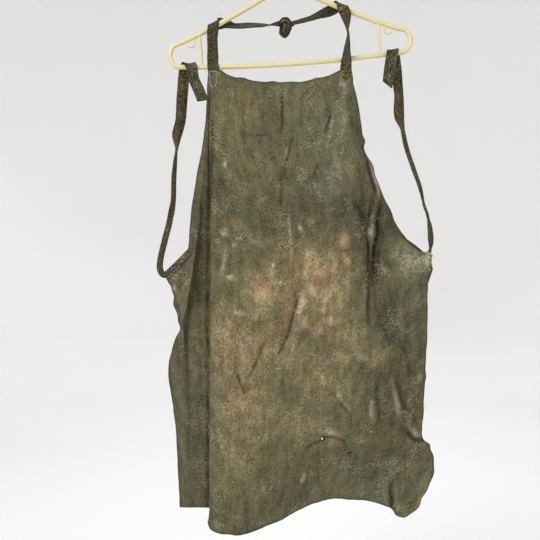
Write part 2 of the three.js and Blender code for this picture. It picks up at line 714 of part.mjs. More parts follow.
const SUEDE = { color: '#6d694e', roughness: 0.95, metalness: 0 };
const STRAP_SUEDE = { color: '#5a5741', roughness: 0.92, metalness: 0 };
const BRASS = { color: '#a58a3c', roughness: 0.35, metalness: 1 };
const PLASTIC = { color: '#ded4a5', roughness: 0.45, metalness: 0 };

const apron = new THREE.Group();

function piece(name, geometry, look) {
  geometry.computeVertexNormals();
  const mesh = new THREE.Mesh(geometry, new THREE.MeshStandardMaterial(look));
  mesh.name = name;
  apron.add(mesh);
  return mesh;
}

piece('apron_body', apronBody(), SUEDE);
piece('neck_strap_left', neckStrapLeft(), STRAP_SUEDE);
piece('neck_strap_right', pierced(neckStrapRight()), STRAP_SUEDE);
piece('neck_knot', neckKnot(), STRAP_SUEDE);
piece('strap_stud', strapStud(), BRASS);
piece('waist_tie_left', waistTieLeft(), STRAP_SUEDE);
piece('waist_tie_right', waistTieRight(), STRAP_SUEDE);
piece('hanger', hanger(), PLASTIC).rotation.y = HANGER.tilt;

export default apron;
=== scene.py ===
# %% [markdown]
# A worn suede apron on a clothes hanger.
# The construction is finished: its solids are loaded as a fixed frame. This lesson dresses that frame,
# one piece at a time, with finer meshes and with finishes made of shader nodes. Sizes are in millimetres,
# and MM turns them into Blender's metres.

# %% Frame
import math
import bmesh
import bpy
import numpy as np
from mathutils import Matrix, Vector, noise


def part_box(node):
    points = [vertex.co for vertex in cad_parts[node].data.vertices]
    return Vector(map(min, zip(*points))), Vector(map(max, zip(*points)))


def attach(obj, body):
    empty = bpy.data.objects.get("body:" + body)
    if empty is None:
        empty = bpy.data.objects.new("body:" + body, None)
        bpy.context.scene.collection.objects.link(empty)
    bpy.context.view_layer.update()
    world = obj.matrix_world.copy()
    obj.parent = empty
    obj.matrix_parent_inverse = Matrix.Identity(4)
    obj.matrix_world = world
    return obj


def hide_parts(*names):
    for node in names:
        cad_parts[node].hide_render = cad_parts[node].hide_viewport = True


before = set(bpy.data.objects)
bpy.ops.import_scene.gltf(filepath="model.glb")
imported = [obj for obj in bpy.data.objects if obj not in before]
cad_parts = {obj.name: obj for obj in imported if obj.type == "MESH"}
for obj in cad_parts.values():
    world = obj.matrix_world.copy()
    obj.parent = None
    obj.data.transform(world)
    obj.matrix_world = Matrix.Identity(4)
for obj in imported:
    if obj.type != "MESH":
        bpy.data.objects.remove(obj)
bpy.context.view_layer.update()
scene = bpy.context.scene
MM = 0.001
print("solids:", sorted(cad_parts))

# %% [markdown]
# The camera comes first, because many places on the hide are read off the photograph. It looks level
# along +Y, straight at the middle of the hide. PIXEL is the size of a pixel on the plane of the hanger,
# and from it and the distance comes the lens.

# %% Camera
PICTURE = 540
PIXEL = 1.7
SIGHT = Vector((-22, -1250, -561))
SENSOR = 36

focal_pixels = -SIGHT.y / PIXEL
camera = bpy.data.objects.new("camera", bpy.data.cameras.new("camera"))
camera.data.sensor_width = SENSOR
camera.data.lens = SENSOR * focal_pixels / PICTURE
camera.location = SIGHT * MM
camera.rotation_euler = (math.radians(90), 0, 0)
scene.collection.objects.link(camera)
scene.camera = camera
scene.view_settings.view_transform = "Standard"


def seen(points):
    """The pixel of the photograph in which the camera sees each point, as columns px and py."""
    away = points[..., 1] - SIGHT.y
    px = PICTURE / 2 + focal_pixels * (points[..., 0] - SIGHT.x) / away
    py = PICTURE / 2 - focal_pixels * (points[..., 2] - SIGHT.z) / away
    return np.stack([px, py], -1)


print("lens", round(camera.data.lens, 1), "mm")

# %% [markdown]
# A material is a tree of nodes. A few small helpers keep the trees short to read: add makes a node, sets
# it and links it, mixed mixes two colours, calc does a sum, ranged moves a value from one range to another
# and clouds makes noise. Colours are written as they look on a screen and turned into the linear values
# that light works with.

# %% Node helpers
def add(tree, kind, links=None, **settings):
    """A new shader node. A link is a socket to join or a value to set."""
    made = tree.nodes.new("ShaderNode" + kind)
    for name, value in settings.items():
        setattr(made, name, value)
    for key, value in (links or {}).items():
        if isinstance(value, bpy.types.NodeSocket):
            tree.links.new(value, made.inputs[key])
        else:
            made.inputs[key].default_value = value
    return made


MIX_FACTOR, MIX_A, MIX_B, MIX_RESULT = 0, 6, 7, 2


def mixed(tree, factor, a, b, blend="MIX"):
    links = {MIX_FACTOR: factor, MIX_A: a, MIX_B: b}
    return add(tree, "Mix", links, data_type="RGBA", blend_type=blend).outputs[MIX_RESULT]


def calc(tree, operation, *values):
    return add(tree, "Math", dict(enumerate(values)), operation=operation).outputs[0]


def ranged(tree, value, low, high, to_low=0.0, to_high=1.0):
    """The value moved from one range to another, with soft ends."""
    links = {"Value": value, "From Min": low, "From Max": high, "To Min": to_low, "To Max": to_high}
    return add(tree, "MapRange", links, interpolation_type="SMOOTHSTEP").outputs[0]


def clouds(tree, vector, scale, detail, roughness=0.5):
    """Soft noise over a vector, with finer noise laid on it as detail."""
    links = {"Vector": vector, "Scale": scale, "Detail": detail, "Roughness": roughness}
    return add(tree, "TexNoise", links).outputs[0]


def own_place(tree):
    """The object's own coordinates."""
    return add(tree, "TexCoord").outputs["Object"]


def colour(code):
    """A screen colour such as 6d694e as linear red, green, blue and alpha, by the sRGB curve."""
    parts = [int(code[i:i + 2], 16) / 255 for i in (0, 2, 4)]
    linear = [p / 12.92 if p <= 0.04045 else ((p + 0.055) / 1.055) ** 2.4 for p in parts]
    return (*linear, 1.0)


def node_group(name, inputs, outputs):
    """An empty group with its sockets, and its ends. Inputs are names with values, outputs are names."""
    tree = bpy.data.node_groups.new(name, "ShaderNodeTree")
    for socket, value in inputs.items():
        kind = "NodeSocketVector" if value is None else "NodeSocketFloat"
        made = tree.interface.new_socket(socket, in_out="INPUT", socket_type=kind)
        if value is not None:
            made.default_value = value
    for socket in outputs:
        tree.interface.new_socket(socket, in_out="OUTPUT", socket_type="NodeSocketFloat")
    return tree, tree.nodes.new("NodeGroupInput"), tree.nodes.new("NodeGroupOutput")


def new_material(name):
    material = bpy.data.materials.new(name)
    material.use_nodes = True
    tree = material.node_tree
    return material, tree, tree.nodes["Principled BSDF"]


print("node helpers ready")

# %% [markdown]
# Suede is leather with its fibres raised. Close by it is a mat of short fibres, from further off a mottle
# of light and dark with faint brushed streaks, and where it is worn the fibres stand out more. The nap
# group makes all of these from noise of several sizes, and the height that a Bump node reads. A second
# group breaks the soft border of a stain into flecks, as a real one soaks in.

# %% Shared effects
NAP_PARTS = {  # output: its stretch, and its noise's scale, detail, roughness, lowest and highest value
    # Without a stretch the noise is as wide as it is tall. Without a scale it takes that of the fibres.
    "Speckle": ("Lean", None, 2.0, 0.65, 0.36, 0.64),
    "Mottle": ("Lean", 75.0, 5.0, 0.7, 0.34, 0.66),
    "Streak": ("Brush", 90.0, 4.0, 0.6, 0.35, 0.65),
    "Cloud": (None, 17.0, 3.0, 0.55, 0.33, 0.67),
    "Wear": (None, 24.0, 4.0, 0.6, 0.46, 0.68),
}
TANGLE_SCALE, TANGLE_DETAIL, TANGLE_ROUGHNESS = 62.0, 3.0, 0.6
HAIR_WIDTH, MOTTLE_HEIGHT, FIBRE_SCALE = 0.022, 1.4, 460.0
MIDDLE = 0.5  # the value that noise swings about


def make_nap():
    sockets = {"Vector": None, "Fibre": FIBRE_SCALE, "Lean": 0.6, "Brush": 0.2}
    tree, given, result = node_group("suede nap", sockets, [*NAP_PARTS, "Hair", "Height"])
    place = given.outputs["Vector"]

    def drawn_out(amount):
        stretch = add(tree, "CombineXYZ", {"X": 1.0, "Y": given.outputs[amount], "Z": 1.0}).outputs[0]
        return add(tree, "VectorMath", {0: place, 1: stretch}, operation="MULTIPLY").outputs[0]

    made = {}
    for part, (stretch, scale, detail, roughness, low, high) in NAP_PARTS.items():
        vector = drawn_out(stretch) if stretch else place
        made[part] = clouds(tree, vector, scale or given.outputs["Fibre"], detail, roughness)
        tree.links.new(ranged(tree, made[part], low, high), result.inputs[part])
    tangle = clouds(tree, place, TANGLE_SCALE, TANGLE_DETAIL, TANGLE_ROUGHNESS)
    off_line = calc(tree, "ABSOLUTE", calc(tree, "SUBTRACT", tangle, MIDDLE))
    tree.links.new(ranged(tree, off_line, HAIR_WIDTH, 0.0), result.inputs["Hair"])
    height = calc(tree, "MULTIPLY_ADD", made["Mottle"], MOTTLE_HEIGHT, made["Speckle"])
    tree.links.new(height, result.inputs["Height"])
    return tree


SOAK_NEAR, SOAK_SWING = 0.3, 3.0  # the mask at which flecks are full, and how far they move the border


def make_soak():
    sockets = {"Vector": None, "Mask": 0.0, "Fleck": 190.0, "Break": 0.8}
    tree, given, result = node_group("soaked edge", sockets, ["Mask"])
    place, mask, scale = (given.outputs[name] for name in ("Vector", "Mask", "Fleck"))
    links = {"Vector": place, "Scale": scale, "Detail": 5.0, "Roughness": 0.7, "Distortion": 0.3}
    flecks = add(tree, "TexNoise", links).outputs[0]
    swing = calc(tree, "MULTIPLY", calc(tree, "SUBTRACT", flecks, MIDDLE), given.outputs["Break"])
    near = calc(tree, "MULTIPLY", swing, ranged(tree, mask, 0.0, SOAK_NEAR))
    broken = calc(tree, "MULTIPLY_ADD", near, SOAK_SWING, mask)
    tree.links.new(calc(tree, "MAXIMUM", calc(tree, "MINIMUM", broken, 1.0), 0.0), result.inputs["Mask"])
    return tree


NAP = make_nap()
SOAK = make_soak()
print("groups:", NAP.name, "and", SOAK.name)

# %% [markdown]
# The hide's finish starts from an olive ground that drifts between grey and brown. Marks are laid over
# it: each is a number that the mesh carries at every vertex, such as tan for the pale worn stains, and
# the soak group breaks it up. The dark and line marks also carry painted shade beside the folds. The nap
# then lightens and darkens the whole, more so where it is worn, and crest, which is how far the skin
# stands out of its surroundings, rubs ridges pale and darkens the valleys. Sheen gives the soft bloom of
# raised fibres seen from the side.

# %% Suede finish
GREY_OLIVE, BROWN_OLIVE = colour("646249"), colour("6a6448")
MARKS = {  # mark: its two colours, how much of the ground it covers and how broken its border is
    "green": (colour("69705a"), colour("6d7257"), 0.8, 0.5),
    "tan": (colour("c29b6c"), colour("cfb98c"), 0.9, 0.36),
    "rust": (colour("a8744f"), colour("a5845e"), 0.7, 0.5),
    # dark: dark patches of the suede, and painted shade in the valleys and on the panel turned from the light
    "dark": (colour("2f2f20"), colour("332f20"), 0.8, 0.6),
    "pale": (colour("c8c1a2"), colour("d4ceb2"), 0.85, 0.7),
    # line: dark lines, many of them painted shadow beside the folds and the pleat
    "line": (colour("261f12"), colour("2a2416"), 0.95, 0.15),
}
# The edge colour darkens the free edges: partly the cut's own colour, partly painted shade.
RUBBED, VALLEY_COLOUR, EDGE_CUT_AND_SHADE, FIBRE = colour("9a967a"), colour("2c2a1d"), colour("2e2b1e"), colour("b9b596")
HOLE_SHADE = colour("17140b")
# Pits are dark spots painted as the shade seen through small holes; the largest rings the worn hole.
PITS = [  # a place on the flat hide, right of its middle and down from its top edge, and a radius
    (69.3, 613.6, 5.2), (108.8, 646.5, 1.6), (118.8, 653.8, 2.6), (36.1, 596.2, 1.5), (-23, 410, 1.5),
]
NAP_LEVEL, NAP_MOTTLE, NAP_STREAK, NAP_WORN, HAIRS = 0.61, 0.24, 0.18, 0.08, 1.9
# where a ridge or valley starts, how pale ridges are rubbed, and how far the valleys of the relief are
# darkened
CREST_STARTS, CREST_RUB, VALLEY_DARKENING = 0.1, 0.35, 0.5
RAISED_FROM, PIT_CORE = 0.55, 0.6  # the speckle that stands up, and the share of a pit that is black
NAP_BUMP, NAP_RISE = 0.5, 1.0
FACE_SWING, STRAP_SWING, STRAP_FIBRE = 0.3, 0.75, 350.0


def suede_finish(name, grounds, marks, edge_dark, wear, swing=FACE_SWING, pits=(), fibre=FIBRE_SCALE):
    """A napped leather: two ground colours, the marks to lay over them, how dark its free edges are, which is
    partly painted shade, how pale its worn fibres are, how far its nap swings, its pits, painted as the shade
    seen through small holes, and the scale of its fibres."""
    material, tree, shader = new_material(name)
    flat = add(tree, "UVMap", uv_map="flat").outputs[0]
    nap = add(tree, "Group", {"Vector": flat, "Fibre": fibre}, node_tree=NAP).outputs

    def carried(attribute):
        return add(tree, "Attribute", attribute_name=attribute).outputs["Fac"]

    def times(a, b):
        return calc(tree, "MULTIPLY", a, b)

    def plus_times(start, value, factor):
        return calc(tree, "MULTIPLY_ADD", value, factor, start)

    tone = mixed(tree, nap["Cloud"], *grounds)
    for mark, (deep, light, cover, break_up) in marks.items():
        links = {"Vector": flat, "Mask": carried(mark), "Break": break_up}
        soaked = add(tree, "Group", links, node_tree=SOAK).outputs[0]
        tone = mixed(tree, times(soaked, cover), tone, mixed(tree, nap["Mottle"], deep, light))
    if marks:
        crest = carried("crest")
        tone = mixed(tree, ranged(tree, crest, CREST_STARTS, 1.0, 0.0, CREST_RUB), tone, RUBBED)
        # the valleys of the relief are darkened
        tone = mixed(tree, ranged(tree, crest, -CREST_STARTS, -1.0, 0.0, VALLEY_DARKENING), tone, VALLEY_COLOUR)
    lowest = NAP_LEVEL - (NAP_MOTTLE + NAP_STREAK) / 2
    brushed = plus_times(plus_times(lowest, nap["Mottle"], NAP_MOTTLE), nap["Streak"], NAP_STREAK)
    reach = plus_times(swing, nap["Wear"], NAP_WORN)
    grain = plus_times(brushed, calc(tree, "SUBTRACT", nap["Speckle"], MIDDLE), reach)
    tone = mixed(tree, 1.0, tone, grain, "MULTIPLY")
    raised = times(ranged(tree, nap["Speckle"], RAISED_FROM, 1.0), nap["Wear"])
    tone = mixed(tree, times(raised, wear), tone, FIBRE)
    scratched = times(nap["Hair"], nap["Wear"])
    tone = mixed(tree, times(scratched, HAIRS * wear), tone, FIBRE)
    # Each pit is painted dark, as the shade seen through a small hole.
    for right, down, radius in pits:
        spot = (right * MM, -down * MM, 0)
        away = add(tree, "VectorMath", {0: flat, 1: spot}, operation="DISTANCE").outputs["Value"]
        tone = mixed(tree, ranged(tree, away, radius * MM, PIT_CORE * radius * MM), tone, HOLE_SHADE)
    # The free edges darken, partly as the cut's colour and partly as painted shade.
    tone = mixed(tree, times(carried("edge"), edge_dark), tone, EDGE_CUT_AND_SHADE)
    tree.links.new(tone, shader.inputs["Base Color"])
    rise = add(tree, "Bump", {"Height": nap["Height"], "Strength": NAP_BUMP, "Distance": NAP_RISE * MM})
    tree.links.new(rise.outputs[0], shader.inputs["Normal"])
    shader.inputs["Roughness"].default_value = 0.95
    shader.inputs["Specular IOR Level"].default_value = 0.15
    shader.inputs["Sheen Weight"].default_value = 0.04
    shader.inputs["Sheen Roughness"].default_value = 0.5
    return material


def strap_finish(name, deep, light):
    """The suede of the straps, whose nap swings further and whose fibres are coarser."""
    grounds = colour(deep), colour(light)
    return suede_finish(name, grounds, {}, edge_dark=0.5, wear=0.14, swing=STRAP_SWING, fibre=STRAP_FIBRE)


SUEDE = suede_finish("suede", (GREY_OLIVE, BROWN_OLIVE), MARKS, edge_dark=0.7, wear=0.15, pits=PITS)
SUEDE_BACK = suede_finish("suede_back", (colour("746b50"), colour("857757")), {}, edge_dark=0.5, wear=0.2)
CUT_EDGE = suede_finish("cut_edge", (colour("3a3626"), colour("4d4631")), {}, edge_dark=0.2, wear=0.1)
STRAP = strap_finish("strap_suede", "484431", "544d37")
STRAP_BACK = strap_finish("strap_back", "4a432c", "574e35")
STRAP_EDGE = suede_finish("strap_edge", (colour("2f2b1d"), colour("403a28")), {}, edge_dark=0.2, wear=0.1)
print("suede finishes:", SUEDE.name, SUEDE_BACK.name, STRAP.name)

# %% [markdown]
# The hard finishes are small. Brass is a metal whose roughness and colour change where tarnish sits. The
# hanger is satin plastic with a faint drift of colour from handling. Thread is matt, with a twist drawn
# by a wave.

# %% Hard finishes and thread
def brass_finish():
    material, tree, shader = new_material("brass")
    tarnish = clouds(tree, own_place(tree), scale=420.0, detail=4.0, roughness=0.6)
    amount = ranged(tree, tarnish, 0.42, 0.66)
    tree.links.new(mixed(tree, amount, colour("6e602c"), colour("2b230e")), shader.inputs["Base Color"])
    tree.links.new(ranged(tree, tarnish, 0.3, 0.7, 0.2, 0.5), shader.inputs["Roughness"])
    shader.inputs["Metallic"].default_value = 1.0
    return material


def plastic_finish():
    material, tree, shader = new_material("hanger_plastic")
    drift = clouds(tree, own_place(tree), scale=9.0, detail=2.0)
    handled = clouds(tree, own_place(tree), scale=130.0, detail=4.0)
    tree.links.new(mixed(tree, drift, colour("c9bd94"), colour("bfb182")), shader.inputs["Base Color"])
    tree.links.new(ranged(tree, handled, 0.3, 0.7, 0.3, 0.44), shader.inputs["Roughness"])
    rise = add(tree, "Bump", {"Height": handled, "Strength": 0.06, "Distance": 0.3 * MM})
    tree.links.new(rise.outputs[0], shader.inputs["Normal"])
    return material


def thread_finish():
    material, tree, shader = new_material("thread")
    place = own_place(tree)
    links = {"Vector": place, "Scale": 700.0, "Distortion": 1.0}
    twist = add(tree, "TexWave", links, bands_direction="DIAGONAL").outputs[1]
    soil = ranged(tree, clouds(tree, place, scale=260.0, detail=3.0), 0.4, 0.75)
    clean = mixed(tree, twist, colour("8b866e"), colour("a6a186"))
    tree.links.new(mixed(tree, soil, clean, colour("625e45")), shader.inputs["Base Color"])
    shader.inputs["Roughness"].default_value = 0.85
    return material


BRASS, PLASTIC, THREAD = brass_finish(), plastic_finish(), thread_finish()
print("hard finishes:", BRASS.name, PLASTIC.name, THREAD.name)

# %% [markdown]
# Every sheet here, hide or strap, is the same thing in Blender: a flat grid of faces whose vertices are
# laid in rows and columns along a shape. laid_grid makes one with a UV map of its flat size in metres, so
# that the nap is never stretched, and with the numbers that the finishes read. walled then gives it its
# thickness and puts the back and the cut edge on materials of their own.

# %% Sheet helpers
def meshed(name, shape):
    """A new mesh from a bmesh, which is freed."""
    mesh = bpy.data.meshes.new(name)
    shape.to_mesh(mesh)
    shape.free()
    return mesh


def laid_grid(name, points, flat, marks):
    """A mesh of points[row, column] in mm, with UVs in metres from flat[row, column] in mm."""
    rows, columns = points.shape[0] - 1, points.shape[1] - 1
    shape = bmesh.new()
    bmesh.ops.create_grid(shape, x_segments=columns, y_segments=rows, size=0.5)
    mesh = meshed(name, shape)
    place = np.empty(len(mesh.vertices) * 3)
    mesh.vertices.foreach_get("co", place)
    place = place.reshape(-1, 3)
    column = np.rint((place[:, 0] + 0.5) * columns).astype(int)
    row = np.rint((0.5 - place[:, 1]) * rows).astype(int)
    mesh.vertices.foreach_set("co", (points[row, column] * MM).ravel())
    corner = np.empty(len(mesh.loops), int)
    mesh.loops.foreach_get("vertex_index", corner)
    mesh.uv_layers.new(name="flat").data.foreach_set("uv", (flat[row, column] * MM)[corner].ravel())
    for mark, field in marks.items():
        mesh.attributes.new(mark, "FLOAT", "POINT").data.foreach_set("value", field[row, column])
    return mesh


def show(name, mesh, materials, replaces=()):
    """A finished piece: its object, materials, body and the solids that it stands for."""
    piece = bpy.data.objects.new(name, mesh)
    scene.collection.objects.link(piece)
    mesh.materials.clear()
    for material in materials:
        mesh.materials.append(material)
    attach(piece, "root")
    if replaces:
        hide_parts(*replaces)
    return piece


SHARP = math.radians(55)


def smooth_shaded(mesh):
    """Shades a mesh smooth, but for the edges that turn by more than the sharp angle."""
    mesh.shade_smooth()
    mesh.set_sharp_from_angle(angle=SHARP)


def walled(piece, wall):
    """Gives a sheet its wall, the back on its second material and the cut edge on its third."""
    solidify = piece.modifiers.new("wall", "SOLIDIFY")
    solidify.thickness = wall * MM
    solidify.offset = 0
    solidify.material_offset = 1
    solidify.material_offset_rim = 2
    solidify.use_quality_normals = True
    made = piece.evaluated_get(bpy.context.evaluated_depsgraph_get())
    solid = bpy.data.meshes.new_from_object(made)
    piece.modifiers.clear()
    piece.data = solid
    smooth_shaded(solid)
    return piece


def running_length(points, axis):
    """How far each point lies from the first along a grid's rows (axis 1) or columns (axis 0)."""
    steps = np.linalg.norm(np.diff(points, axis=axis), axis=2)
    start = np.zeros_like(np.take(steps, [0], axis))
    return np.concatenate([start, np.cumsum(steps, axis)], axis)


print("sheet helpers ready")

# %% [markdown]
# The hide is one piece: bib, armholes and skirt. Its shape is held by lines that run from the top edge to
# the hem: the two side edges, the crest and valley of each fold, and the broad front between them. Each
# table gives one fold by its drop below the hanger's hook. A smooth curve that never overshoots joins the
# rows, first down the lines and then across them.

# %% Hide tables
def table(columns, *rows):
    """Named columns of numbers from rows."""
    return dict(zip(columns.split(), np.array(rows, float).T))


SIDE_COLUMNS = "left_x left_y left_drop right_x right_y right_drop"
BIB_SIDES = table(
    SIDE_COLUMNS,
    (-126, -8.5, 223, 111, -8.5, 226),
    (-129, -9, 274, 126, -4, 271),
    (-132, -8, 320, 134, 10, 313),
    (-138, -6, 364, 141, 16, 354),
    (-146, -4, 400, 154, 20, 387),
    (-151, -2, 440, 166, 20, 425),
    (-158, 0, 497, 190, 16, 474),
    (-159, 1, 515, 210, 15, 503),
    (-161, 2, 529, 233, 14, 527),
    (-204, 6, 568, 255, 12, 536),
)
SKIRT_SIDES = table(
    SIDE_COLUMNS,
    (-204, 6, 568, 255, 12, 536),
    (-191, 4, 589, 254, 10, 563),
    (-187, 4, 618, 248, 10, 595),
    (-172, 8, 655, 247, 10, 647),
    (-187, 20, 684, 245, 8, 698),
    (-198, 26, 738, 241, 6, 766),
    (-189, 29, 806, 235, 2, 838),
    (-182, 32, 878, 253, -12, 876),
    (-180.5, 34, 932, 246, -16, 913),
    (-179, 36, 975, 227, -20, 950),
)
LINE_NAMES = """left_edge flap_crest flap_valley tuck left_fold front_left front_middle front_right
pleat_foot pleat_crest pleat_valley right_panel right_margin right_edge""".split()
LINES = table(  # cells to the next line, share of the way across, and how much lower its top and hem are
    "cells share top hem",
    (4, 0, 0, 0), (3, 0.05, 0, 1), (4, 0.1, 0, 2), (4, 0.17, 0, 3), (4, 0.14, 0, -1.5), (4, 0.24, 13, 16),
    (4, 0.4, 20, 12), (3, 0.55, 16, -5), (2, 0.65, 5, -11), (3, 0.69, -2, -10.5), (3, 0.73, -2, -9),
    (2, 0.83, -1, 5), (2, 0.9, 0, 22.5), (0, 1, 0, 0),
)
TOP_FADE, HEM_FADE = 0.16, 0.2
LEFT_FLAP = table(
    "drop x y reach depth",
    (223, -124, -8.5, 1.5, 0), (320, -129, -8, 1.5, 0.5), (425, -139, -8, 4, 3), (490, -145, -8, 5.5, 8),
    (544, -151, -7, 6, 13), (595, -160, -6, 6, 16), (645, -168, -3, 6, 15), (705, -171, 11, 12, 10),
    (780, -168, 21, 18, 4), (985, -158, 33, 23, -1),
)
LEFT_FOLD = table(
    "drop x y reach depth",
    (223, -119, -8.5, -2, 0), (280, -119.5, -9, -3, 0.5), (330, -120, -11, -4, 5), (440, -119.5, -15, 3, 16),
    (560, -119.5, -22, 9, 30), (700, -120, -30, 14, 44), (850, -120.5, -38, 18, 56), (985, -120, -46, 22, 66),
)
FRONT = table(
    "drop left middle right",
    (223, -8.5, -8.5, -8.5), (320, -12, -11, -10), (400, -15, -13, -12), (560, -27, -25, -20),
    (700, -37, -30, -20), (850, -52, -34, -12), (985, -70, -38, -2),
)
FRONT_SHARES = {"left": 0.2, "middle": 0.5, "right": 0.8}
RIGHT_PLEAT = table(
    "drop x y width rise reach depth",
    (223, 97, -8.5, 14, 0, 4, 0), (256, 101, -8.5, 15, 0, 6, 0.6), (300, 109, -9, 16, 0, 9, 6),
    (360, 123, -10, 14, 1, 9, 12), (425, 150, -12, 10, 5, 8, 14), (470, 152, -13, 10, 6, 6, 18),
    (520, 149, -13, 9, 5, 6, 15), (560, 145, -14, 10, 4, 7, 11), (612, 141, -14, 12, 2, 9, 7),
    (700, 138, -13, 16, 1, 14, 4), (850, 128, -6, 18, 0, 16, 1), (985, 110, 4, 18, 0, 14, -2),
)
RIGHT_PANEL = table("drop bow", (223, 0), (425, 0), (531, -4), (700, -6), (840, -5), (985, -6))
RIGHT_SHARES = {"right_panel": 0.5, "right_margin": 0.75}
LINE_KNOTS = np.concatenate([[0], np.cumsum(LINES["cells"][:-1])])
KNOT_OF = dict(zip(LINE_NAMES, LINE_KNOTS))
print("hide lines:", len(LINE_NAMES))

# %% [markdown]
# smooth is the curve through a table's rows. hide_lines reads the tables for a set of rows, and
# hide_surface fills in the points between the lines. Both take whole arrays, which is many times faster
# than a loop.

# %% Hide surface
def cubics(knots, values, slope, places):
    """Values at places on the cubics that join the knots, each with its own slope."""
    i = np.clip(np.searchsorted(knots, places) - 1, 0, len(knots) - 2)
    column = (-1, *[1] * (values.ndim - 1))
    span = (knots[i + 1] - knots[i]).reshape(column)
    t = (places - knots[i]).reshape(column) / span
    rise = (values[i + 1] - values[i]) * t * t * (3 - 2 * t)
    return values[i] + rise + span * t * (1 - t) * (slope[i] * (1 - t) - slope[i + 1] * t)


def smooth(knots, values, places):
    """Values at places on the curve through the knots that never swings past the values it joins."""
    steep = np.diff(values) / np.diff(knots)
    before, after = steep[:-1], steep[1:]
    same = before * after > 0
    inner = np.where(same, 2 * before * after / np.where(same, before + after, 1), 0)
    slope = np.concatenate([steep[:1], inner, steep[-1:]])
    return cubics(knots, values, slope, np.clip(places, knots[0], knots[-1]))


def ease(share):
    held = np.clip(share, 0, 1)
    return held * held * (3 - 2 * held)


def side_points(side, v):
    """Points of a side edge at v: 0 at the bib's corner, 0.5 at the waist corner and 1 at the hem."""
    points = np.empty((len(v), 3))
    for sides, chosen, start in ((BIB_SIDES, v < 0.5, 0), (SKIRT_SIDES, v >= 0.5, 0.5)):
        columns = [sides[f"{side}_{axis}"] for axis in ("x", "y", "drop")]
        knots = np.arange(len(columns[0]))
        place = (v[chosen] - start) * 2 * knots[-1]
        points[chosen] = np.stack([smooth(knots, column, place) for column in columns], -1)
    return points


def hide_lines(v):
    """Points of every line at each v, as [row, line, axis]."""
    left, right = side_points("left", v), side_points("right", v)
    top_fade, hem_fade = 1 - ease(v / TOP_FADE), ease((v - 1 + HEM_FADE) / HEM_FADE)
    drops = {}
    for name, share, top, hem in zip(LINE_NAMES, LINES["share"], LINES["top"], LINES["hem"]):
        drops[name] = left[:, 2] + (right[:, 2] - left[:, 2]) * share + top * top_fade + hem * hem_fade

    def at(rows, column, name):
        return smooth(rows["drop"], rows[column], drops[name])

    def crest(rows, name):
        return at(rows, "x", name), at(rows, "y", name)

    def beside(rows, name):
        return at(rows, "x", name) + at(rows, "reach", name), at(rows, "y", name) + at(rows, "depth", name)

    def foot(name):
        x = at(RIGHT_PLEAT, "x", name) - at(RIGHT_PLEAT, "width", name)
        return x, at(RIGHT_PLEAT, "y", name) + at(RIGHT_PLEAT, "rise", name)

    def front(column):
        name = "front_" + column
        fold = at(LEFT_FOLD, "x", name)
        return fold + (foot(name)[0] - fold) * FRONT_SHARES[column], at(FRONT, column, name)

    def panel(name):
        x, y = beside(RIGHT_PLEAT, name)
        share = RIGHT_SHARES[name]
        return x + (right[:, 0] - x) * share, y + (right[:, 1] - y) * share + at(RIGHT_PANEL, "bow", name)

    places = {
        "left_edge": (left[:, 0], left[:, 1]),
        "flap_crest": crest(LEFT_FLAP, "flap_crest"),
        "flap_valley": beside(LEFT_FLAP, "flap_valley"),
        "tuck": beside(LEFT_FOLD, "tuck"),
        "left_fold": crest(LEFT_FOLD, "left_fold"),
        "front_left": front("left"),
        "front_middle": front("middle"),
        "front_right": front("right"),
        "pleat_foot": foot("pleat_foot"),
        "pleat_crest": crest(RIGHT_PLEAT, "pleat_crest"),
        "pleat_valley": beside(RIGHT_PLEAT, "pleat_valley"),
        "right_panel": panel("right_panel"),
        "right_margin": panel("right_margin"),
        "right_edge": (right[:, 0], right[:, 1]),
    }
    return np.stack([np.stack([*places[name], -drops[name]], -1) for name in LINE_NAMES], 1)


def hide_surface(knots, v):
    """Points in mm at each v and each place along the line knots, as [row, column, axis]."""
    rows = [[smooth(LINE_KNOTS, line[:, axis], knots) for axis in range(3)] for line in hide_lines(v)]
    return np.moveaxis(np.array(rows), 1, 2)


def even_steps(places, lengths, count):
    """count + 1 of the places, at equal steps of the lengths that they lie along."""
    return np.interp(np.linspace(0, lengths[-1], count + 1), lengths, places)


print("hide surface ready")

# %% [markdown]
# The grid's rows and columns are spread evenly over the surface. A rough grid is measured first, and equal
# steps are read off its lengths. The bib and the skirt are spread apart, so that a row lies on the waist
# corners. The flat size of the hide, which its UV map uses, is measured along the rows and columns.

# %% Hide grid
HIDE_COLUMNS, HIDE_ROWS = 204, 222
ROUGH_COLUMNS, ROUGH_ROWS = 421, 81
FRONT_FINER = 1.7  # how much closer the columns are across the front, which carries the finest marks
many_knots = np.linspace(0, LINE_KNOTS[-1], ROUGH_COLUMNS)
many_v = np.linspace(0, 1, ROUGH_ROWS)
rough = hide_surface(many_knots, many_v)
steps = np.diff(running_length(rough, 1).mean(0))
middles = (many_knots[1:] + many_knots[:-1]) / 2
in_front = (middles > KNOT_OF["left_fold"]) & (middles < KNOT_OF["pleat_valley"])
weights = np.concatenate([[0], np.cumsum(steps * np.where(in_front, FRONT_FINER, 1))])
column_knots = even_steps(many_knots, weights, HIDE_COLUMNS)
down = running_length(rough, 0).mean(1)
waist = len(many_v) // 2
bib_rows = round(HIDE_ROWS * down[waist] / down[-1])
bib_v = even_steps(many_v[:waist + 1], down[:waist + 1], bib_rows)
skirt_v = even_steps(many_v[waist:], down[waist:] - down[waist], HIDE_ROWS - bib_rows)
row_v = np.concatenate([bib_v, skirt_v[1:]])
hide = hide_surface(column_knots, row_v)
flat_across, flat_down = running_length(hide, 1), running_length(hide, 0)
middle_column = HIDE_COLUMNS // 2
hide_flat = np.stack([flat_across - flat_across[:, middle_column:middle_column + 1], -flat_down], -1)
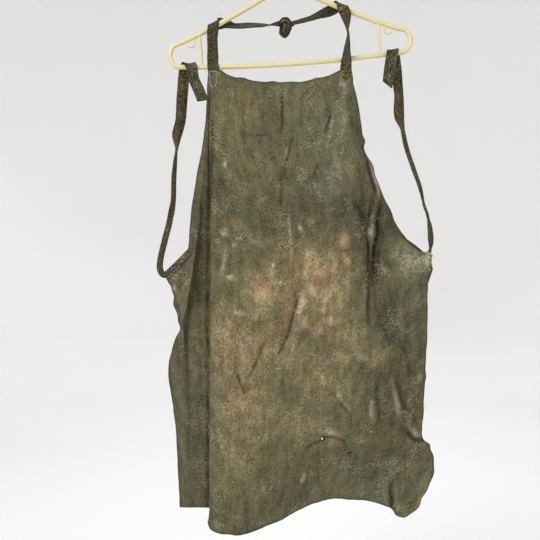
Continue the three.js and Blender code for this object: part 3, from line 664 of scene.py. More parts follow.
print("hide grid", hide.shape[:2], "widest", round(flat_across[:, -1].max()), "mm")

# %% [markdown]
# The frame holds the hide's main folds. What it leaves out is added here as small moves along the hide's
# own outward direction: a slow wander of the whole skin, a finer crumple, and the creases that the
# photograph shows. A crease is a line through a few pixels, with a depth and a width in millimetres. Each
# belongs to a zone of the hide, so that it doesn't mark a layer that lies behind.

# %% Crease helpers
def outward(points):
    """The direction that the front of the hide faces at each point."""
    across, fall = np.gradient(points, axis=1), np.gradient(points, axis=0)
    out = np.cross(across, -fall)
    return out / np.linalg.norm(out, axis=2, keepdims=True)


def wander(points, size, seed):
    """Smooth noise from -1 to 1 at points[row, column], with bumps of about that size in mm."""
    shift = Vector((seed, 2 * seed, 3 * seed))
    values = [noise.noise(Vector(point) / size + shift) for point in points.reshape(-1, points.shape[-1])]
    return np.array(values).reshape(points.shape[:2])


ZONES = {  # zone: first and last line
    "left": ("left_edge", "tuck"),
    "front": ("left_fold", "pleat_foot"),
    "pleat": ("pleat_foot", "right_panel"),
    "right": ("pleat_valley", "right_edge"),
    "all": ("left_edge", "right_edge"),
}
ZONE_BLUR = 1.5  # cells over which a zone ends


def zone_mask(zone):
    """1 on the columns of a zone, fading to 0 just outside."""
    first, last = (KNOT_OF[name] for name in ZONES[zone])
    return ease((column_knots - first) / ZONE_BLUR + 1) * ease((last - column_knots) / ZONE_BLUR + 1)


END_FADE = 0.2  # share of a line that fades in at each end


def crease(place, pixels, width):
    """1 along a line through the pixels, fading to 0 about width mm away and at both ends."""
    pixels = np.array(pixels, float)
    lengths = np.concatenate([[0], np.cumsum(np.linalg.norm(np.diff(pixels, axis=0), axis=1))])
    nearest, along = np.full(place.shape[:2], np.inf), np.zeros(place.shape[:2])
    for a, b, start in zip(pixels[:-1], pixels[1:], lengths):
        step = b - a
        t = np.clip(((place - a) @ step) / (step @ step), 0, 1)
        away = np.linalg.norm(place - a - t[..., None] * step, axis=2)
        along = np.where(away < nearest, start + t * np.linalg.norm(step), along)
        nearest = np.minimum(nearest, away)
    share = along / lengths[-1]
    ends = ease(share / END_FADE) * ease((1 - share) / END_FADE)
    return np.exp(-(nearest * PIXEL / width) ** 2) * ends


print("zones:", ", ".join(ZONES))

# %% [markdown]
# These are the creases of the photograph, one a row. A ridge is a crease with a negative depth. Some also
# leave a dark line in their bottom, which is kept as a mark for the finish. Along the left fold, the pleat
# and the pale strip beside it, these lines are painted shadow.

# %% Creases
CREASES = [  # zone, depth (a ridge is negative), width, how dark its line is, pixels that it runs through
    ("front", 1.2, 5.0, 0.8, [(281, 84), (282, 105), (282, 122), (281, 138)]),
    ("front", 1.0, 5.0, 0.6, [(291, 126), (292, 138), (289, 150), (286, 160), (284, 182)]),
    ("front", -0.9, 5.0, 0.0, [(287, 142), (287, 152), (284, 162)]),
    ("front", 1.0, 7.0, 0.5, [(281, 160), (281, 185), (281, 215)]),
    ("front", 1.0, 6.0, 0.35, [(321, 158), (315, 172), (311, 188), (304, 202)]),
    ("front", -0.9, 6.0, 0.0, [(310, 120), (309, 140), (309, 160)]),
    ("front", 1.2, 4.5, 0.75, [(332, 108), (330, 117), (327, 125), (325, 136)]),
    ("front", -1.0, 4.0, 0.0, [(333, 112), (331, 124), (329, 142)]),
    ("front", 0.8, 4.5, 0.5, [(244, 131), (251, 136), (264, 135), (271, 131)]),
    ("front", 0.9, 5.0, 0.25, [(246, 95), (243, 120), (244, 150)]),
    ("front", 0.9, 5.0, 0.2, [(262, 84), (264, 100), (262, 125)]),
    # These two rows paint only a dark line: the shadow along the front fold's left edge.
    ("front", 0.0, 5.0, 0.8, [(212, 92), (213, 140), (211, 190), (209, 240), (208, 300)]),
    ("front", 0.0, 5.0, 0.8, [(208, 270), (207.5, 330), (207, 400), (207, 470), (208, 520)]),
    ("front", 1.0, 6.0, 0.6, [(350, 200), (358, 208), (364, 217), (369, 226)]),
    ("front", 1.2, 5.0, 0.75, [(299, 292), (294, 312), (288, 335), (281, 349), (274, 363)]),
    ("front", -1.4, 7.0, 0.0, [(306, 290), (300, 315), (294, 338)]),
    ("front", 0.8, 4.5, 0.75, [(266, 336), (258, 357), (251, 374), (243, 380)]),
    ("front", 0.8, 4.5, 0.7, [(236, 370), (240, 382), (246, 396)]),
    ("front", 1.2, 10.0, 0.0, [(230, 290), (226, 340), (224, 400)]),
    ("front", 1.0, 5.0, 0.35, [(330, 390), (340, 402), (350, 414)]),
    ("front", -0.9, 5.0, 0.0, [(334, 390), (344, 402), (354, 413)]),
    ("front", 1.8, 6.0, 0.4, [(320, 440), (318, 455), (318, 470), (319, 492)]),
    ("front", 1.3, 4.5, 0.55, [(323, 440), (313, 444), (303, 450)]),
    ("front", 1.2, 4.5, 0.5, [(321, 437), (334, 437), (344, 441), (347, 453)]),
    ("front", -1.6, 8.0, 0.0, [(318, 432), (328, 431), (338, 434)]),
    # The pleat's lines and the line left of the pale strip are painted shadow under the folds.
    ("pleat", 1.6, 3.5, 1.0, [
        (380, 192), (379, 206), (376.5, 221), (377.5, 234), (373, 249), (371.5, 270), (371, 296)]),
    ("pleat", 1.8, 3.5, 1.0, [
        (371, 192), (371, 206), (368.5, 222), (366, 232), (368.5, 248), (368, 285), (367, 330)]),
    ("all", 1.2, 3.5, 1.0, [(359, 138), (363.5, 150), (369.3, 172), (373.5, 187), (378, 204)]),
    ("pleat", 0.6, 5.0, 0.6, [(379, 246), (376, 270), (374, 300), (379, 318), (383, 334)]),
    ("right", 2.2, 4.5, 0.9, [(430, 442), (422, 440), (414, 440), (405, 430)]),
    ("right", -1.6, 6.0, 0.0, [(420, 434), (412, 430), (404, 420)]),
    ("right", 1.2, 5.0, 0.4, [(417, 424), (409, 412), (403, 402)]),
    ("right", 2.6, 4.5, 0.85, [(390, 474), (390, 490), (391.5, 505), (393, 515)]),
    ("right", 1.8, 7.0, 0.3, [(397, 380), (401, 400), (404, 425)]),
    ("right", -1.5, 6.0, 0.0, [(391, 370), (396, 400), (400, 424)]),
    ("right", 1.6, 7.0, 0.45, [(377, 376), (377, 396), (381, 424)]),
    ("right", -1.4, 5.0, 0.0, [(371, 396), (371, 412), (374, 426)]),
    ("right", 1.6, 8.0, 0.25, [(400, 340), (408, 360), (412, 395)]),
    ("right", 1.4, 7.0, 0.15, [(386, 300), (385, 330), (392, 350)]),
    ("left", 1.2, 6.0, 0.1, [(196, 120), (198, 170), (201, 220)]),
    ("left", 1.4, 7.0, 0.1, [(186, 350), (190, 410), (187, 470)]),
    ("left", 1.2, 6.0, 0.1, [(199, 340), (201, 400), (198, 460)]),
    ("left", 1.4, 5.0, 0.4, [(176, 300), (181, 315), (184, 332)]),
    ("left", 1.0, 5.0, 0.35, [(186, 262), (181, 278), (178, 292)]),
]
LINE_WIDTH = 2.7
WANDER = [(1.6, 95, 1), (0.9, 38, 2), (0.3, 15, 3)]  # depth, size, seed

out = outward(hide)
pixel_place = seen(hide)
relief = np.zeros(hide.shape[:2])
lines = np.zeros(hide.shape[:2])
for depth, size, seed in WANDER:
    relief += depth * wander(hide, size, seed)
# The dark lines become the line mark; along the left fold and the pleat they are painted shadow.
for zone, depth, width, dark, pixels in CREASES:
    mask = zone_mask(zone)
    relief -= depth * crease(pixel_place, pixels, width) * mask
    lines = np.maximum(lines, dark * crease(pixel_place, pixels, LINE_WIDTH) * mask)
print("creases:", len(CREASES), "relief", np.round((relief.min(), relief.max()), 1), "mm")

# %% [markdown]
# A hide's cut edge is never straight. Each border is pushed in and out by a little noise, and then pulled
# a few millimetres at the places where the photograph shows a wave, a lobe or a nick. The relief is eased
# off at the top corners, where the straps are sewn.

# %% Edges
from_edges = {
    "left": flat_across,
    "right": flat_across[:, -1:] - flat_across,
    "top": flat_down,
    "hem": flat_down[-1:] - flat_down,
}
edge_distance = np.minimum.reduce(list(from_edges.values()))
SEWN_REACH, SEWN_RELIEF = 45, 0.25  # how far down the sewing holds the hide flat, and the relief it leaves
below_seam = ease(flat_down / SEWN_REACH)
hide = hide + out * (relief * (SEWN_RELIEF + (1 - SEWN_RELIEF) * below_seam))[..., None]

across = np.gradient(hide, axis=1)
fall = np.gradient(hide, axis=0)
away = {"left": -across, "right": across, "top": -fall, "hem": fall}
EDGE_WANDER = [(0.9, 26, 6), (0.5, 9, 7)]  # depth, size, seed
EDGE_FADE = 10
for depth, size, seed in EDGE_WANDER:
    push = depth * wander(hide, size, seed)
    for side, direction in away.items():
        unit = direction / np.linalg.norm(direction, axis=2, keepdims=True)
        hide = hide + unit * (push * np.exp(-from_edges[side] / EDGE_FADE))[..., None]

SHIFTS = table(  # pixel of the edge, how far it is pulled right and down, and how much goes with it
    "px py right down reach",
    (211, 71, 0, -4.8, 8), (221, 72, 0, -4.8, 6), (226, 73, 0, -2.6, 8), (244, 77, 0, -3, 9),
    (273, 80.5, 0, -2.8, 8), (300, 82, 0, 1.8, 7), (315, 77.5, 0, -2.6, 9), (362.5, 141, 3.5, 0, 7),
    (372, 165, 5, 0, 16), (379.5, 180, 3, 0, 14), (382, 191, 3.5, 0, 18), (389, 208, 4.5, 0, 18),
    (191, 205, -1.6, 0, 30), (183, 322, -6.5, 0, 12), (172, 283, -2.5, 0, 6), (173, 297, 3, 0, 8),
    (186, 254, -2, -3, 7), (176, 460, -1.5, 0, 70), (424, 376, 2, 0, 8), (422, 415, 2, 0, 22),
    (429, 442, 12, 0, 8), (417, 514, 5.5, 1, 6), (433, 474, 4.6, 1, 16), (426, 491, 2.6, 1, 12),
    (418, 508, 5, 3.5, 12), (396, 514, -1, 3, 6), (213, 526, -5, 7.5, 13), (220, 532, 0, 5.5, 11),
    (245, 533, 0, 2.2, 35), (353, 499, 0, 5, 24), (432, 269, 2.5, 0, 6), (431, 254, 5, 0, 3),
    (427, 277, -3.5, 0, 2.6), (427, 284, -2.5, 0, 2.2), (170, 286, 1.6, 0, 3),
)
SHIFT_FADE = 12
pixel_place = seen(hide)
for px, py, right, down, reach in zip(*SHIFTS.values()):
    far = np.linalg.norm(pixel_place - (px, py), axis=2) * PIXEL
    pull = np.exp(-(far / reach) ** 2 - edge_distance / SHIFT_FADE)
    hide = hide + pull[..., None] * (right, 0, -down)
pixel_place = seen(hide)
print("edges worn, shifts:", len(SHIFTS["px"]))

# %% [markdown]
# Marks are where the finish changes, and some dark ones are painted shade. Most are soft ovals: a row holds
# the oval's pixel, its half sizes in millimetres, how far it leans and how strong it is.

# %% Ovals
OVAL = "px py wide tall lean strength"
STAINS = table(
    OVAL,
    (262, 286, 46, 44, 0, 0.36), (322, 284, 46, 56, 0, 0.42), (264, 294, 22, 20, 0, 0.66),
    (258, 277, 13, 11, 0, 0.5), (268, 301, 12, 9, 0, 0.6), (256, 315, 18, 12, 10, 0.5),
    (334, 441, 14, 10, 0, 0.36), (274, 272, 8, 11, 0, 0.5), (240, 313, 14, 7, 20, 0.4),
    (232, 279, 14, 6, 0, 0.36), (312, 264, 15, 18, 0, 0.8), (305, 274, 10, 14, 0, 0.75),
    (344, 241, 9, 15, 0, 0.55), (322, 272, 18, 15, 0, 0.8), (314, 290, 18, 16, 0, 0.7),
    (323, 297, 15, 16, 0, 0.75), (303, 302, 9, 19, 10, 0.75), (327, 309, 17, 10, 0, 0.75),
    (331, 321, 14, 10, 0, 0.65), (305, 321, 15, 16, 5, 0.62), (318, 330, 13, 12, 0, 0.55),
    (336, 268, 13, 18, 0, 0.5), (340, 292, 16, 32, 0, 0.5), (226, 345, 34, 60, 0, 0.4),
    (250, 352, 60, 50, 0, 0.36), (245, 405, 50, 60, 0, 0.36), (238, 460, 40, 40, 0, 0.22),
    (290, 352, 30, 34, 0, 0.32), (345, 338, 34, 30, 0, 0.3), (320, 385, 50, 40, 0, 0.28),
    (376, 358, 16, 20, 20, 0.36), (342, 357, 22, 14, 0, 0.42), (347, 259, 12, 16, 0, 0.5),
    (300, 425, 50, 36, 0, 0.22), (234, 115, 26, 60, 0, 0.12),
)
RUSTS = table(
    OVAL,
    (234, 222, 6, 7, 0, 0.6), (241, 221, 6, 4, 0, 0.5), (338, 235, 6, 6, 0, 0.35),
    (344, 244, 7, 10, 0, 0.4), (336, 248, 5, 8, 0, 0.25), (280, 211, 5, 8, 0, 0.45),
    (308, 243, 5, 6, 0, 0.5), (246, 252, 3, 8, 0, 0.5), (317, 245, 3, 4, 0, 0.6),
    (290, 290, 8, 26, 5, 0.4), (292, 265, 6, 14, 0, 0.35), (286, 315, 10, 26, 15, 0.35),
    (276, 333, 14, 24, 15, 0.35), (305, 249, 8, 9, -30, 0.4), (264, 240, 22, 10, 0, 0.3),
    (281, 248, 16, 14, 0, 0.3), (263, 292, 22, 20, 0, 0.46), (323, 277, 14, 8, 0, 0.45),
    (247, 397, 9, 14, 0, 0.45), (392, 428, 20, 16, 30, 0.25), (410, 385, 12, 20, 10, 0.25),
    (430, 496, 4, 24, -28, 0.5), (372, 300, 7, 40, 0, 0.25), (225, 165, 4, 6, 0, 0.5),
    (228, 345, 10, 40, 0, 0.2), (262, 338, 26, 10, 0, 0.25), (250, 100, 24, 30, 0, 0.15),
    (268, 180, 30, 30, 0, 0.15),
)
FLECKS = table(
    OVAL,
    (218, 241, 4, 4, 0, 0.5), (234, 245, 4, 4, 0, 0.45), (224, 232, 9, 6, 0, 0.35),
    (240, 239, 3, 3, 0, 0.4), (224, 264, 3, 15, 5, 0.5), (230, 277, 8, 3, 0, 0.55),
    (273, 265, 3, 3, 0, 1.0), (309, 254, 9, 8, 0, 0.6), (300, 228, 3, 7, -20, 0.5),
    (288, 222, 3, 9, 0, 0.3), (331, 256, 5, 5, 0, 0.35), (303, 300, 8, 12, 0, 0.4),
    (264, 308, 8, 8, 0, 0.25), (238, 313, 13, 4, 20, 0.25), (371, 233, 5, 7, 0, 0.45),
    (426, 260, 7, 12, 0, 1.0), (412, 261, 22, 22, -15, 0.36), (330, 432, 10, 5, 15, 0.7),
    (429, 254, 7, 3, 0, 1.0), (396, 252, 10, 16, 30, 0.2), (344, 84, 7, 6, 0, 0.15),
    (342, 120, 6, 60, 0, 0.12), (335, 175, 20, 30, 0, 0.22), (342, 152, 4, 10, 0, 0.3),
    (371, 411, 4, 9, 0, 0.45), (174, 288, 4, 5, 0, 0.6), (360, 440, 7, 5, 0, 0.35),
    (304.5, 475, 3, 3, 0, 0.8), (302, 480, 3, 3, 0, 0.7), (382, 270, 10, 6, 20, 0.15),
    (360, 357, 12, 6, 20, 0.2), (322, 383, 5, 5, 0, 0.3), (225, 164, 2.5, 6, 0, 0.6),
    (262, 200, 12, 2.5, -25, 0.3), (225, 465, 5, 3, 0, 0.25), (250, 465, 4, 4, 0, 0.3),
    (192, 352, 11, 40, 0, 0.16), (420, 378, 3, 10, 0, 0.35), (331, 114, 4, 4, 0, 0.35),
    (238, 520, 2.5, 8, 0, 0.25),
)
GREENS = table(
    OVAL,
    (330, 140, 50, 110, 0, 0.65), (405, 275, 45, 70, 0, 0.5), (413, 264, 26, 26, 0, 0.9),
    (375, 480, 90, 60, 0, 0.4), (185, 300, 25, 80, 0, 0.35), (190, 420, 30, 110, 0, 0.5),
    (355, 400, 60, 60, 0, 0.35), (400, 330, 40, 50, 0, 0.35),
)
# Dark patches of the suede, and painted shade: beside the pleat, in the valley by the left fold, and over the
# right panel that turns from the light.
DARKS = table(
    OVAL,
    (305, 207, 110, 26, 0, 0.4), (255, 266, 12, 13, 0, 0.35), (235, 264, 20, 9, 0, 0.35),
    (268, 252, 17, 12, 0, 0.3), (271, 222, 24, 20, 0, 0.42), (291, 217, 16, 18, 0, 0.55),
    (317, 216, 5, 18, 0, 0.55), (340, 207, 34, 34, 0, 0.62), (298, 229, 20, 12, 0, 0.25),
    (241, 285, 14, 10, 0, 0.3), (216, 520, 30, 24, 0, 0.35), (388, 426, 34, 30, 0, 0.62),
    (414, 400, 16, 40, 0, 0.42), (361, 212, 16, 60, 0, 0.85), (196, 230, 12, 60, 0, 0.4),
    (332, 180, 36, 36, 0, 0.45), (395, 500, 14, 24, 0, 0.4), (386, 222, 22, 44, 0, 0.62),
    (392, 320, 30, 60, 0, 0.72), (398, 376, 50, 70, 0, 0.5), (385, 455, 70, 50, 0, 0.36),
    (300, 90, 120, 12, 0, 0.15), (284, 176, 14, 14, 0, 0.3), (385, 262, 14, 30, 0, 0.6),
    (179, 357, 9, 30, 0, 0.5), (207, 475, 5, 70, 0, 0.5), (220, 195, 9, 70, 0, 0.4),
    (425, 277, 7, 3, 20, 1.0), (426, 284, 6, 3, 0, 0.9), (418, 290, 5, 12, 40, 0.5),
    (376, 397, 12, 20, 0, 0.65), (417, 371, 10, 20, 0, 0.5), (389, 268, 12, 18, 0, 0.6),
    (418, 335, 14, 60, 0, 0.4), (355, 125, 12, 60, -12, 0.45), (311, 127, 3, 4, 0, 0.5),
    (298, 155, 3, 4, 0, 0.5), (318, 462, 7, 24, 0, 0.25), (345, 444, 5, 8, 0, 0.35),
    (300, 495, 60, 20, 0, 0.2), (264, 210, 40, 20, 0, 0.25),
)
print("ovals:", sum(len(ovals["px"]) for ovals in (STAINS, RUSTS, FLECKS, GREENS, DARKS)))

# %% [markdown]
# Other marks run along a line, such as the dark lines beside the folds, which are painted shadow, the pale
# scratches and the worn borders. They are drawn as the creases are.

# %% Strokes
STROKES = [  # mark, zone, width, strength, pixels that it runs through
    ("tan", "all", 4.6, 0.75, [
        (363, 142), (368.5, 156), (371.3, 165), (375, 180), (377.6, 190), (379.5, 206)]),
    # Painted shadow: the dark outline left of the pale strip, and the lines each side of the pleat's ridge.
    ("line", "all", 2.8, 1.0, [
        (359, 138), (363.5, 150), (366.5, 160), (369.3, 172), (373.5, 187), (378, 204)]),
    ("line", "all", 4.0, 1.0, [(372.5, 188), (371, 206), (368.3, 222), (366, 232), (368, 248), (368.5, 300)]),
    ("line", "all", 4.0, 1.0, [(381, 186), (379.3, 206), (377, 222), (378, 234), (374, 249), (372, 300)]),
    ("line", "right", 3.6, 0.9, [(398, 231), (405, 238), (414, 245.5), (424, 253), (430, 257)]),
    # Painted shadow along the left edge of the front fold.
    ("line", "left", 2.4, 0.9, [
        (211, 60), (209.5, 110), (208.5, 160), (208, 210), (207.7, 260), (207.7, 320)]),
    ("line", "left", 2.4, 0.9, [
        (207.7, 230), (207.7, 290), (207.7, 350), (208, 420), (208.3, 470), (209, 560)]),
    ("line", "all", 2.6, 0.9, [(203, 70), (207, 70), (218, 70), (222, 71)]),
    # Painted shade in the valley between the flap and the front fold.
    ("dark", "left", 9.0, 0.5, [(205, 170), (204, 200), (202, 225), (200, 255), (199, 280), (201, 320)]),
    ("rust", "front", 8.0, 0.5, [(299, 248), (294, 282), (291, 305), (285, 325), (275, 352)]),
    ("pale", "front", 4.5, 0.36, [(303, 288), (301, 304), (297, 320)]),
    ("green", "pleat", 5.0, 1.0, [(376, 188), (374, 212), (372, 234), (371, 262)]),
    ("pale", "front", 2.2, 0.24, [(288, 212), (290, 235), (292, 264)]),
    ("pale", "front", 2.4, 0.45, [(288, 144), (287, 151), (285, 160)]),
    ("pale", "front", 2.6, 0.3, [(333, 116), (331, 128), (329, 142)]),
    ("pale", "front", 2.6, 0.4, [(225, 254), (223, 264), (221, 274)]),
    ("pale", "front", 2.4, 0.4, [(267, 284), (278, 283), (288, 283)]),
    ("pale", "front", 2.4, 0.3, [(335, 393), (343, 402), (352, 412)]),
    ("rust", "right", 4.5, 0.75, [(433, 478), (430, 486), (424, 496), (418, 507), (410, 516)]),
    ("dark", "front", 5.0, 0.5, [(316, 200), (316, 216), (317, 232)]),
    # Painted shade each side of the pleat.
    ("dark", "pleat", 7.0, 0.75, [(383, 196), (381, 220), (382, 240), (378, 262), (376, 290)]),
    ("dark", "pleat", 7.0, 0.6, [(366, 205), (362, 225), (364, 245), (366, 290)]),
    ("dark", "right", 6.0, 0.5, [(374, 304), (378, 316), (382, 328)]),
    ("line", "right", 3.2, 0.9, [(432, 261), (432.5, 270), (429.5, 279), (427.5, 292)]),
    ("pale", "right", 2.4, 0.12, [(406, 309), (399, 316), (394, 327), (388, 338)]),
    ("pale", "right", 2.4, 0.12, [(421, 318), (413, 327), (402, 333)]),
    ("pale", "right", 2.6, 0.3, [(378, 262), (386, 270), (392, 278)]),
    ("pale", "right", 2.6, 0.45, [(412, 428), (416, 434), (421, 437)]),
    ("pale", "right", 2.6, 0.3, [(394, 390), (398, 404), (402, 416)]),
    ("pale", "all", 3.0, 0.12, [(345, 84), (344, 105), (345, 130)]),
]


print("strokes:", len(STROKES))

# %% [markdown]
# Each mark is now worked out for every vertex of the hide. Crest is measured from the relief: a vertex that
# stands out from the average of its neighbours is on a ridge. Edge is dark along the cut border, partly the
# cut's own colour and partly painted shade, but not at the torn corner.

# %% Marks
def soft_ovals(place, ovals):
    """The strongest of the ovals at each place, 0 to 1."""
    total = np.zeros(place.shape[:2])
    for px, py, wide, tall, lean, strength in zip(*ovals.values()):
        right, low = (place[..., 0] - px) * PIXEL, (place[..., 1] - py) * PIXEL
        c, s = math.cos(math.radians(lean)), math.sin(math.radians(lean))
        far = ((right * c + low * s) / wide) ** 2 + ((low * c - right * s) / tall) ** 2
        total = np.maximum(total, strength * np.exp(-far))
    return total


CREST_HEIGHT = 0.9  # height above its neighbours at which a place is a full ridge


def crests(heights):
    """How far each place stands above its neighbours, from -1 in a valley to 1 on a ridge."""
    padded = np.pad(heights, 2, mode="reflect", reflect_type="odd")
    around = (padded[4:, 2:-2] + padded[:-4, 2:-2] + padded[2:-2, 4:] + padded[2:-2, :-4]) / 4
    return np.clip((heights - around) / CREST_HEIGHT, -1, 1)


# The dark line along a cut edge is partly the cut's own colour and partly painted shade.
EDGE_DARK = 2.6  # width of the dark line along a cut edge
hide_marks = {
    "tan": soft_ovals(pixel_place, STAINS),
    "rust": soft_ovals(pixel_place, RUSTS),
    "pale": soft_ovals(pixel_place, FLECKS),
    "green": soft_ovals(pixel_place, GREENS),
    "dark": soft_ovals(pixel_place, DARKS),
    "line": lines,
    "crest": crests(relief),
    "edge": np.exp(-(edge_distance / EDGE_DARK) ** 2),
}
TORN_CORNER = table(OVAL, (427, 259, 9, 14, 0, 0.9))
hide_marks["edge"] *= 1 - soft_ovals(pixel_place, TORN_CORNER)
for mark, zone, width, strength, pixels in STROKES:
    stroke = strength * crease(pixel_place, pixels, width) * zone_mask(zone)
    hide_marks[mark] = np.maximum(hide_marks[mark], stroke)
print("marks:", {mark: round(float(field.max()), 2) for mark, field in hide_marks.items()})

# %% [markdown]
# Now the hide's mesh. The small worn hole is made by deleting the vertex nearest to it and pulling the
# ring of eight that is left onto a rough circle. Then the sheet gets its two millimetres of wall.

# %% Hide mesh
HIDE_WALL = 2.0
HOLE = {"pixel": (322, 439), "radius": 2.1, "ragged": 0.15}


def worn_hole(mesh, points):
    """Opens a small round hole in the sheet at the hole's pixel."""
    away_px = np.linalg.norm(seen(points) - HOLE["pixel"], axis=2)
    row, column = np.unravel_index(away_px.argmin(), away_px.shape)
    middle = Vector(points[row, column] * MM)
    shape = bmesh.new()
    shape.from_mesh(mesh)
    centre = min(shape.verts, key=lambda vert: (vert.co - middle).length_squared)
    ring = {vert for face in centre.link_faces for vert in face.verts} - {centre}
    bmesh.ops.delete(shape, geom=[centre], context="VERTS")
    for i, vert in enumerate(sorted(ring, key=lambda vert: vert.index)):
        spoke = (vert.co - middle).normalized()
        uneven = 1 + HOLE["ragged"] * (i % 3 - 1)
        vert.co = middle + spoke * HOLE["radius"] * MM * uneven
    shape.to_mesh(mesh)
    shape.free()


hide_mesh = laid_grid("apron_hide", hide, hide_flat, hide_marks)
worn_hole(hide_mesh, hide)
apron = show("apron_hide", hide_mesh, [SUEDE, SUEDE_BACK, CUT_EDGE], ["apron_body"])
walled(apron, HIDE_WALL)

# %% [markdown]
# The straps hang on the hanger, so its lines come first. Its bar and its two arms are each one bow from end
# to end. The whole hanger is tilted a little about its hook.

# %% Hanger lines
HANGER = {
    "tilt": math.radians(-3.9), "hook_height": 204, "hook_radius": 23, "rod": 8.5, "hook_rod": 8, "peak": 128,
    "bend_x": 122, "bend_height": 63, "shoulder": 188, "sag": 7, "end_height": 20, "end_reach": 16.5,
}


def hung(places):
    """Places of the hanger, as x and height above the bar, where it hangs tilted from its hook."""
    places = np.asarray(places, float)
    x, z = places[..., 0], places[..., 1] - HANGER["hook_height"]
    c, s = math.cos(HANGER["tilt"]), math.sin(HANGER["tilt"])
    return np.stack([x * c + z * s, np.zeros_like(x), z * c - x * s], -1)


def bow(start, bend, end, t):
    """Places at t on a curve from start to end that leans towards bend."""
    t = np.asarray(t, float)[..., None]
    return np.array(start) * (1 - t) ** 2 + np.array(bend) * 2 * t * (1 - t) + np.array(end) * t ** 2


def arm(t, side=1):
    ends = (0, HANGER["peak"]), (side * HANGER["shoulder"], 2 * HANGER["end_height"])
    return bow(ends[0], (side * HANGER["bend_x"], HANGER["bend_height"]), ends[1], t)


def bar(t):
    return bow((-HANGER["shoulder"], 0), (0, -2 * HANGER["sag"]), (HANGER["shoulder"], 0), t)


def left_arm(t):
    return arm(t, -1)


print("hanger lines ready")

# %% [markdown]
# The straps are strips of the same suede, 19 mm wide. A strap follows stations: the point at its middle,
# the direction across it and how far it is folded lengthwise, from 0, flat, to 1, doubled. Where it goes
# over a rod of the hanger, or is sewn to the hide, the stations are worked out from the rod or the hide.

# %% Strap helpers
STRAP_WIDTH, STRAP_WALL, SOFT_GAP = 19.0, 1.9, 0.8
FLAT, FOLDED = 0.0, 1.0


def station(at, across_it, fold=FLAT):
    return np.array(at, float), np.array(across_it, float), fold


def route(*rows, fold=FLAT):
    """Stations from rows of a point and the direction across the strap."""
    return [station(at, across_it, fold) for at, across_it in rows]


TURN_STATIONS, SMALL_STEP = 7, 0.01
FROM_FRONT, FROM_BACK = -1, 1


def over(rod_curve, t, start, travel, last=0.5):
    """A turn over a rod at t, from its front or back, moving along it by travel. Half a turn ends at 0.5."""
    middle, ahead = hung(rod_curve(t)), hung(rod_curve(t + SMALL_STEP))
    along = (ahead - middle) / np.linalg.norm(ahead - middle)
    along = along * (1 if along[0] > 0 else -1)
    above = np.array([-along[2], 0, along[0]])
    reach = HANGER["rod"] / 2 + SOFT_GAP + STRAP_WALL / 2
    stations = []
    for share in np.linspace(-0.5, last, TURN_STATIONS):
        swing = math.pi * share
        at = middle + along * travel * share + above * reach * math.cos(swing)
        at[1] -= start * reach * math.sin(swing)
        stations.append(station(at, along))
    return stations


hide_out = outward(hide)
hide_pixels = seen(hide)
hide_steps = np.gradient(hide, axis=(0, 1))
pixel_steps = np.gradient(hide_pixels, axis=(0, 1))
OFF_ZONE = 1e3  # pixels added to places outside the zone, so that none of them is the nearest


def on_hide(px, py, zone):
    """The hide's point and outward direction that the camera sees in a pixel."""
    far = np.linalg.norm(hide_pixels - (px, py), axis=2) + OFF_ZONE * (zone_mask(zone) < 0.5)
    row, column = np.unravel_index(far.argmin(), far.shape)
    step = np.stack([pixel_step[row, column] for pixel_step in pixel_steps], -1)
    shift = np.clip(np.linalg.solve(step, (px, py) - hide_pixels[row, column]), -1, 1)
    moves = [share * hide_step[row, column] for share, hide_step in zip(shift, hide_steps)]
    return hide[row, column] + sum(moves), hide_out[row, column]


ON_FRONT, ON_BACK = 1, -1
LEVEL = (1, 0, 0)
SEAMS = {  # seam: zone, side of the hide, fold, and rows of a pixel and the direction across the strap
    "bib_left": ("all", ON_BACK, FLAT, [((214, 95), LEVEL), ((214, 85), LEVEL), ((214, 76), LEVEL)]),
    "bib_right": ("all", ON_BACK, FLAT, [((348, 86), LEVEL), ((347.5, 77), LEVEL)]),
    "waist_left": ("left", ON_FRONT, FOLDED, [
        ((190.5, 252.5), (-0.6, 0, 0.8)), ((174, 268.5), (-0.6, 0, 0.8)), ((168, 273.5), (-0.6, 0, 0.8))]),
    "waist_right": ("right", ON_BACK, FOLDED, [
        ((400, 239), (0.62, 0, 0.78)), ((408, 242), (0.62, 0, 0.78)), ((415.5, 247), (0.6, 0, 0.8)),
        ((422, 252), (0.5, 0, 0.85))]),
}


def sewn(name):
    """The stations of a seam, on the hide's front or behind it."""
    zone, side, fold, rows = SEAMS[name]
    stations = []
    for pixel, across_it in rows:
        at, facing = on_hide(*pixel, zone)
        at = at + facing * side * (HIDE_WALL / 2 + SOFT_GAP + (1 + fold) * STRAP_WALL / 2)
        level = np.array(across_it, float)
        stations.append(station(at, level - facing * (level @ facing), fold))
    return stations


def curve_through(values, knots, places):
    """A smooth curve through rows of values, with slopes from their neighbours."""
    return cubics(knots, values, np.gradient(values, knots, axis=0), places)


print("strap helpers ready")

# %% [markdown]
# A strap's section is a row of points across it. Flat, they lie in a line with a slight curl. Folded, one
# half swings over the other like a closing book, so the strip keeps its full width all the way. The
# section is then carried along the stations, and the grid gets the same wall and materials as the hide.

# %% Strap builder
STRAP_COLUMNS, STRAP_STEP = 14, 2.5
CURL, CURL_LEVEL = 0.7, 0.33
FOLD_ROOM, FOLD_ROUND = 0.5, 0.6
FINE_STEPS, FEWEST_ROWS = 60, 8
STRAP_EDGE_DARK = 1.6
WAVERS = {  # what wavers along a strap: how far, over what length, and its lane in the noise
    "width": (0.05, 22, 0),
    "fray": (0.35, 5, 9),
    "twist": (0.8, 30, 4),
}


def waver(kind, run, seed):
    amount, size, lane = WAVERS[kind]
    return amount * noise.noise(Vector((run / size, seed, lane)))


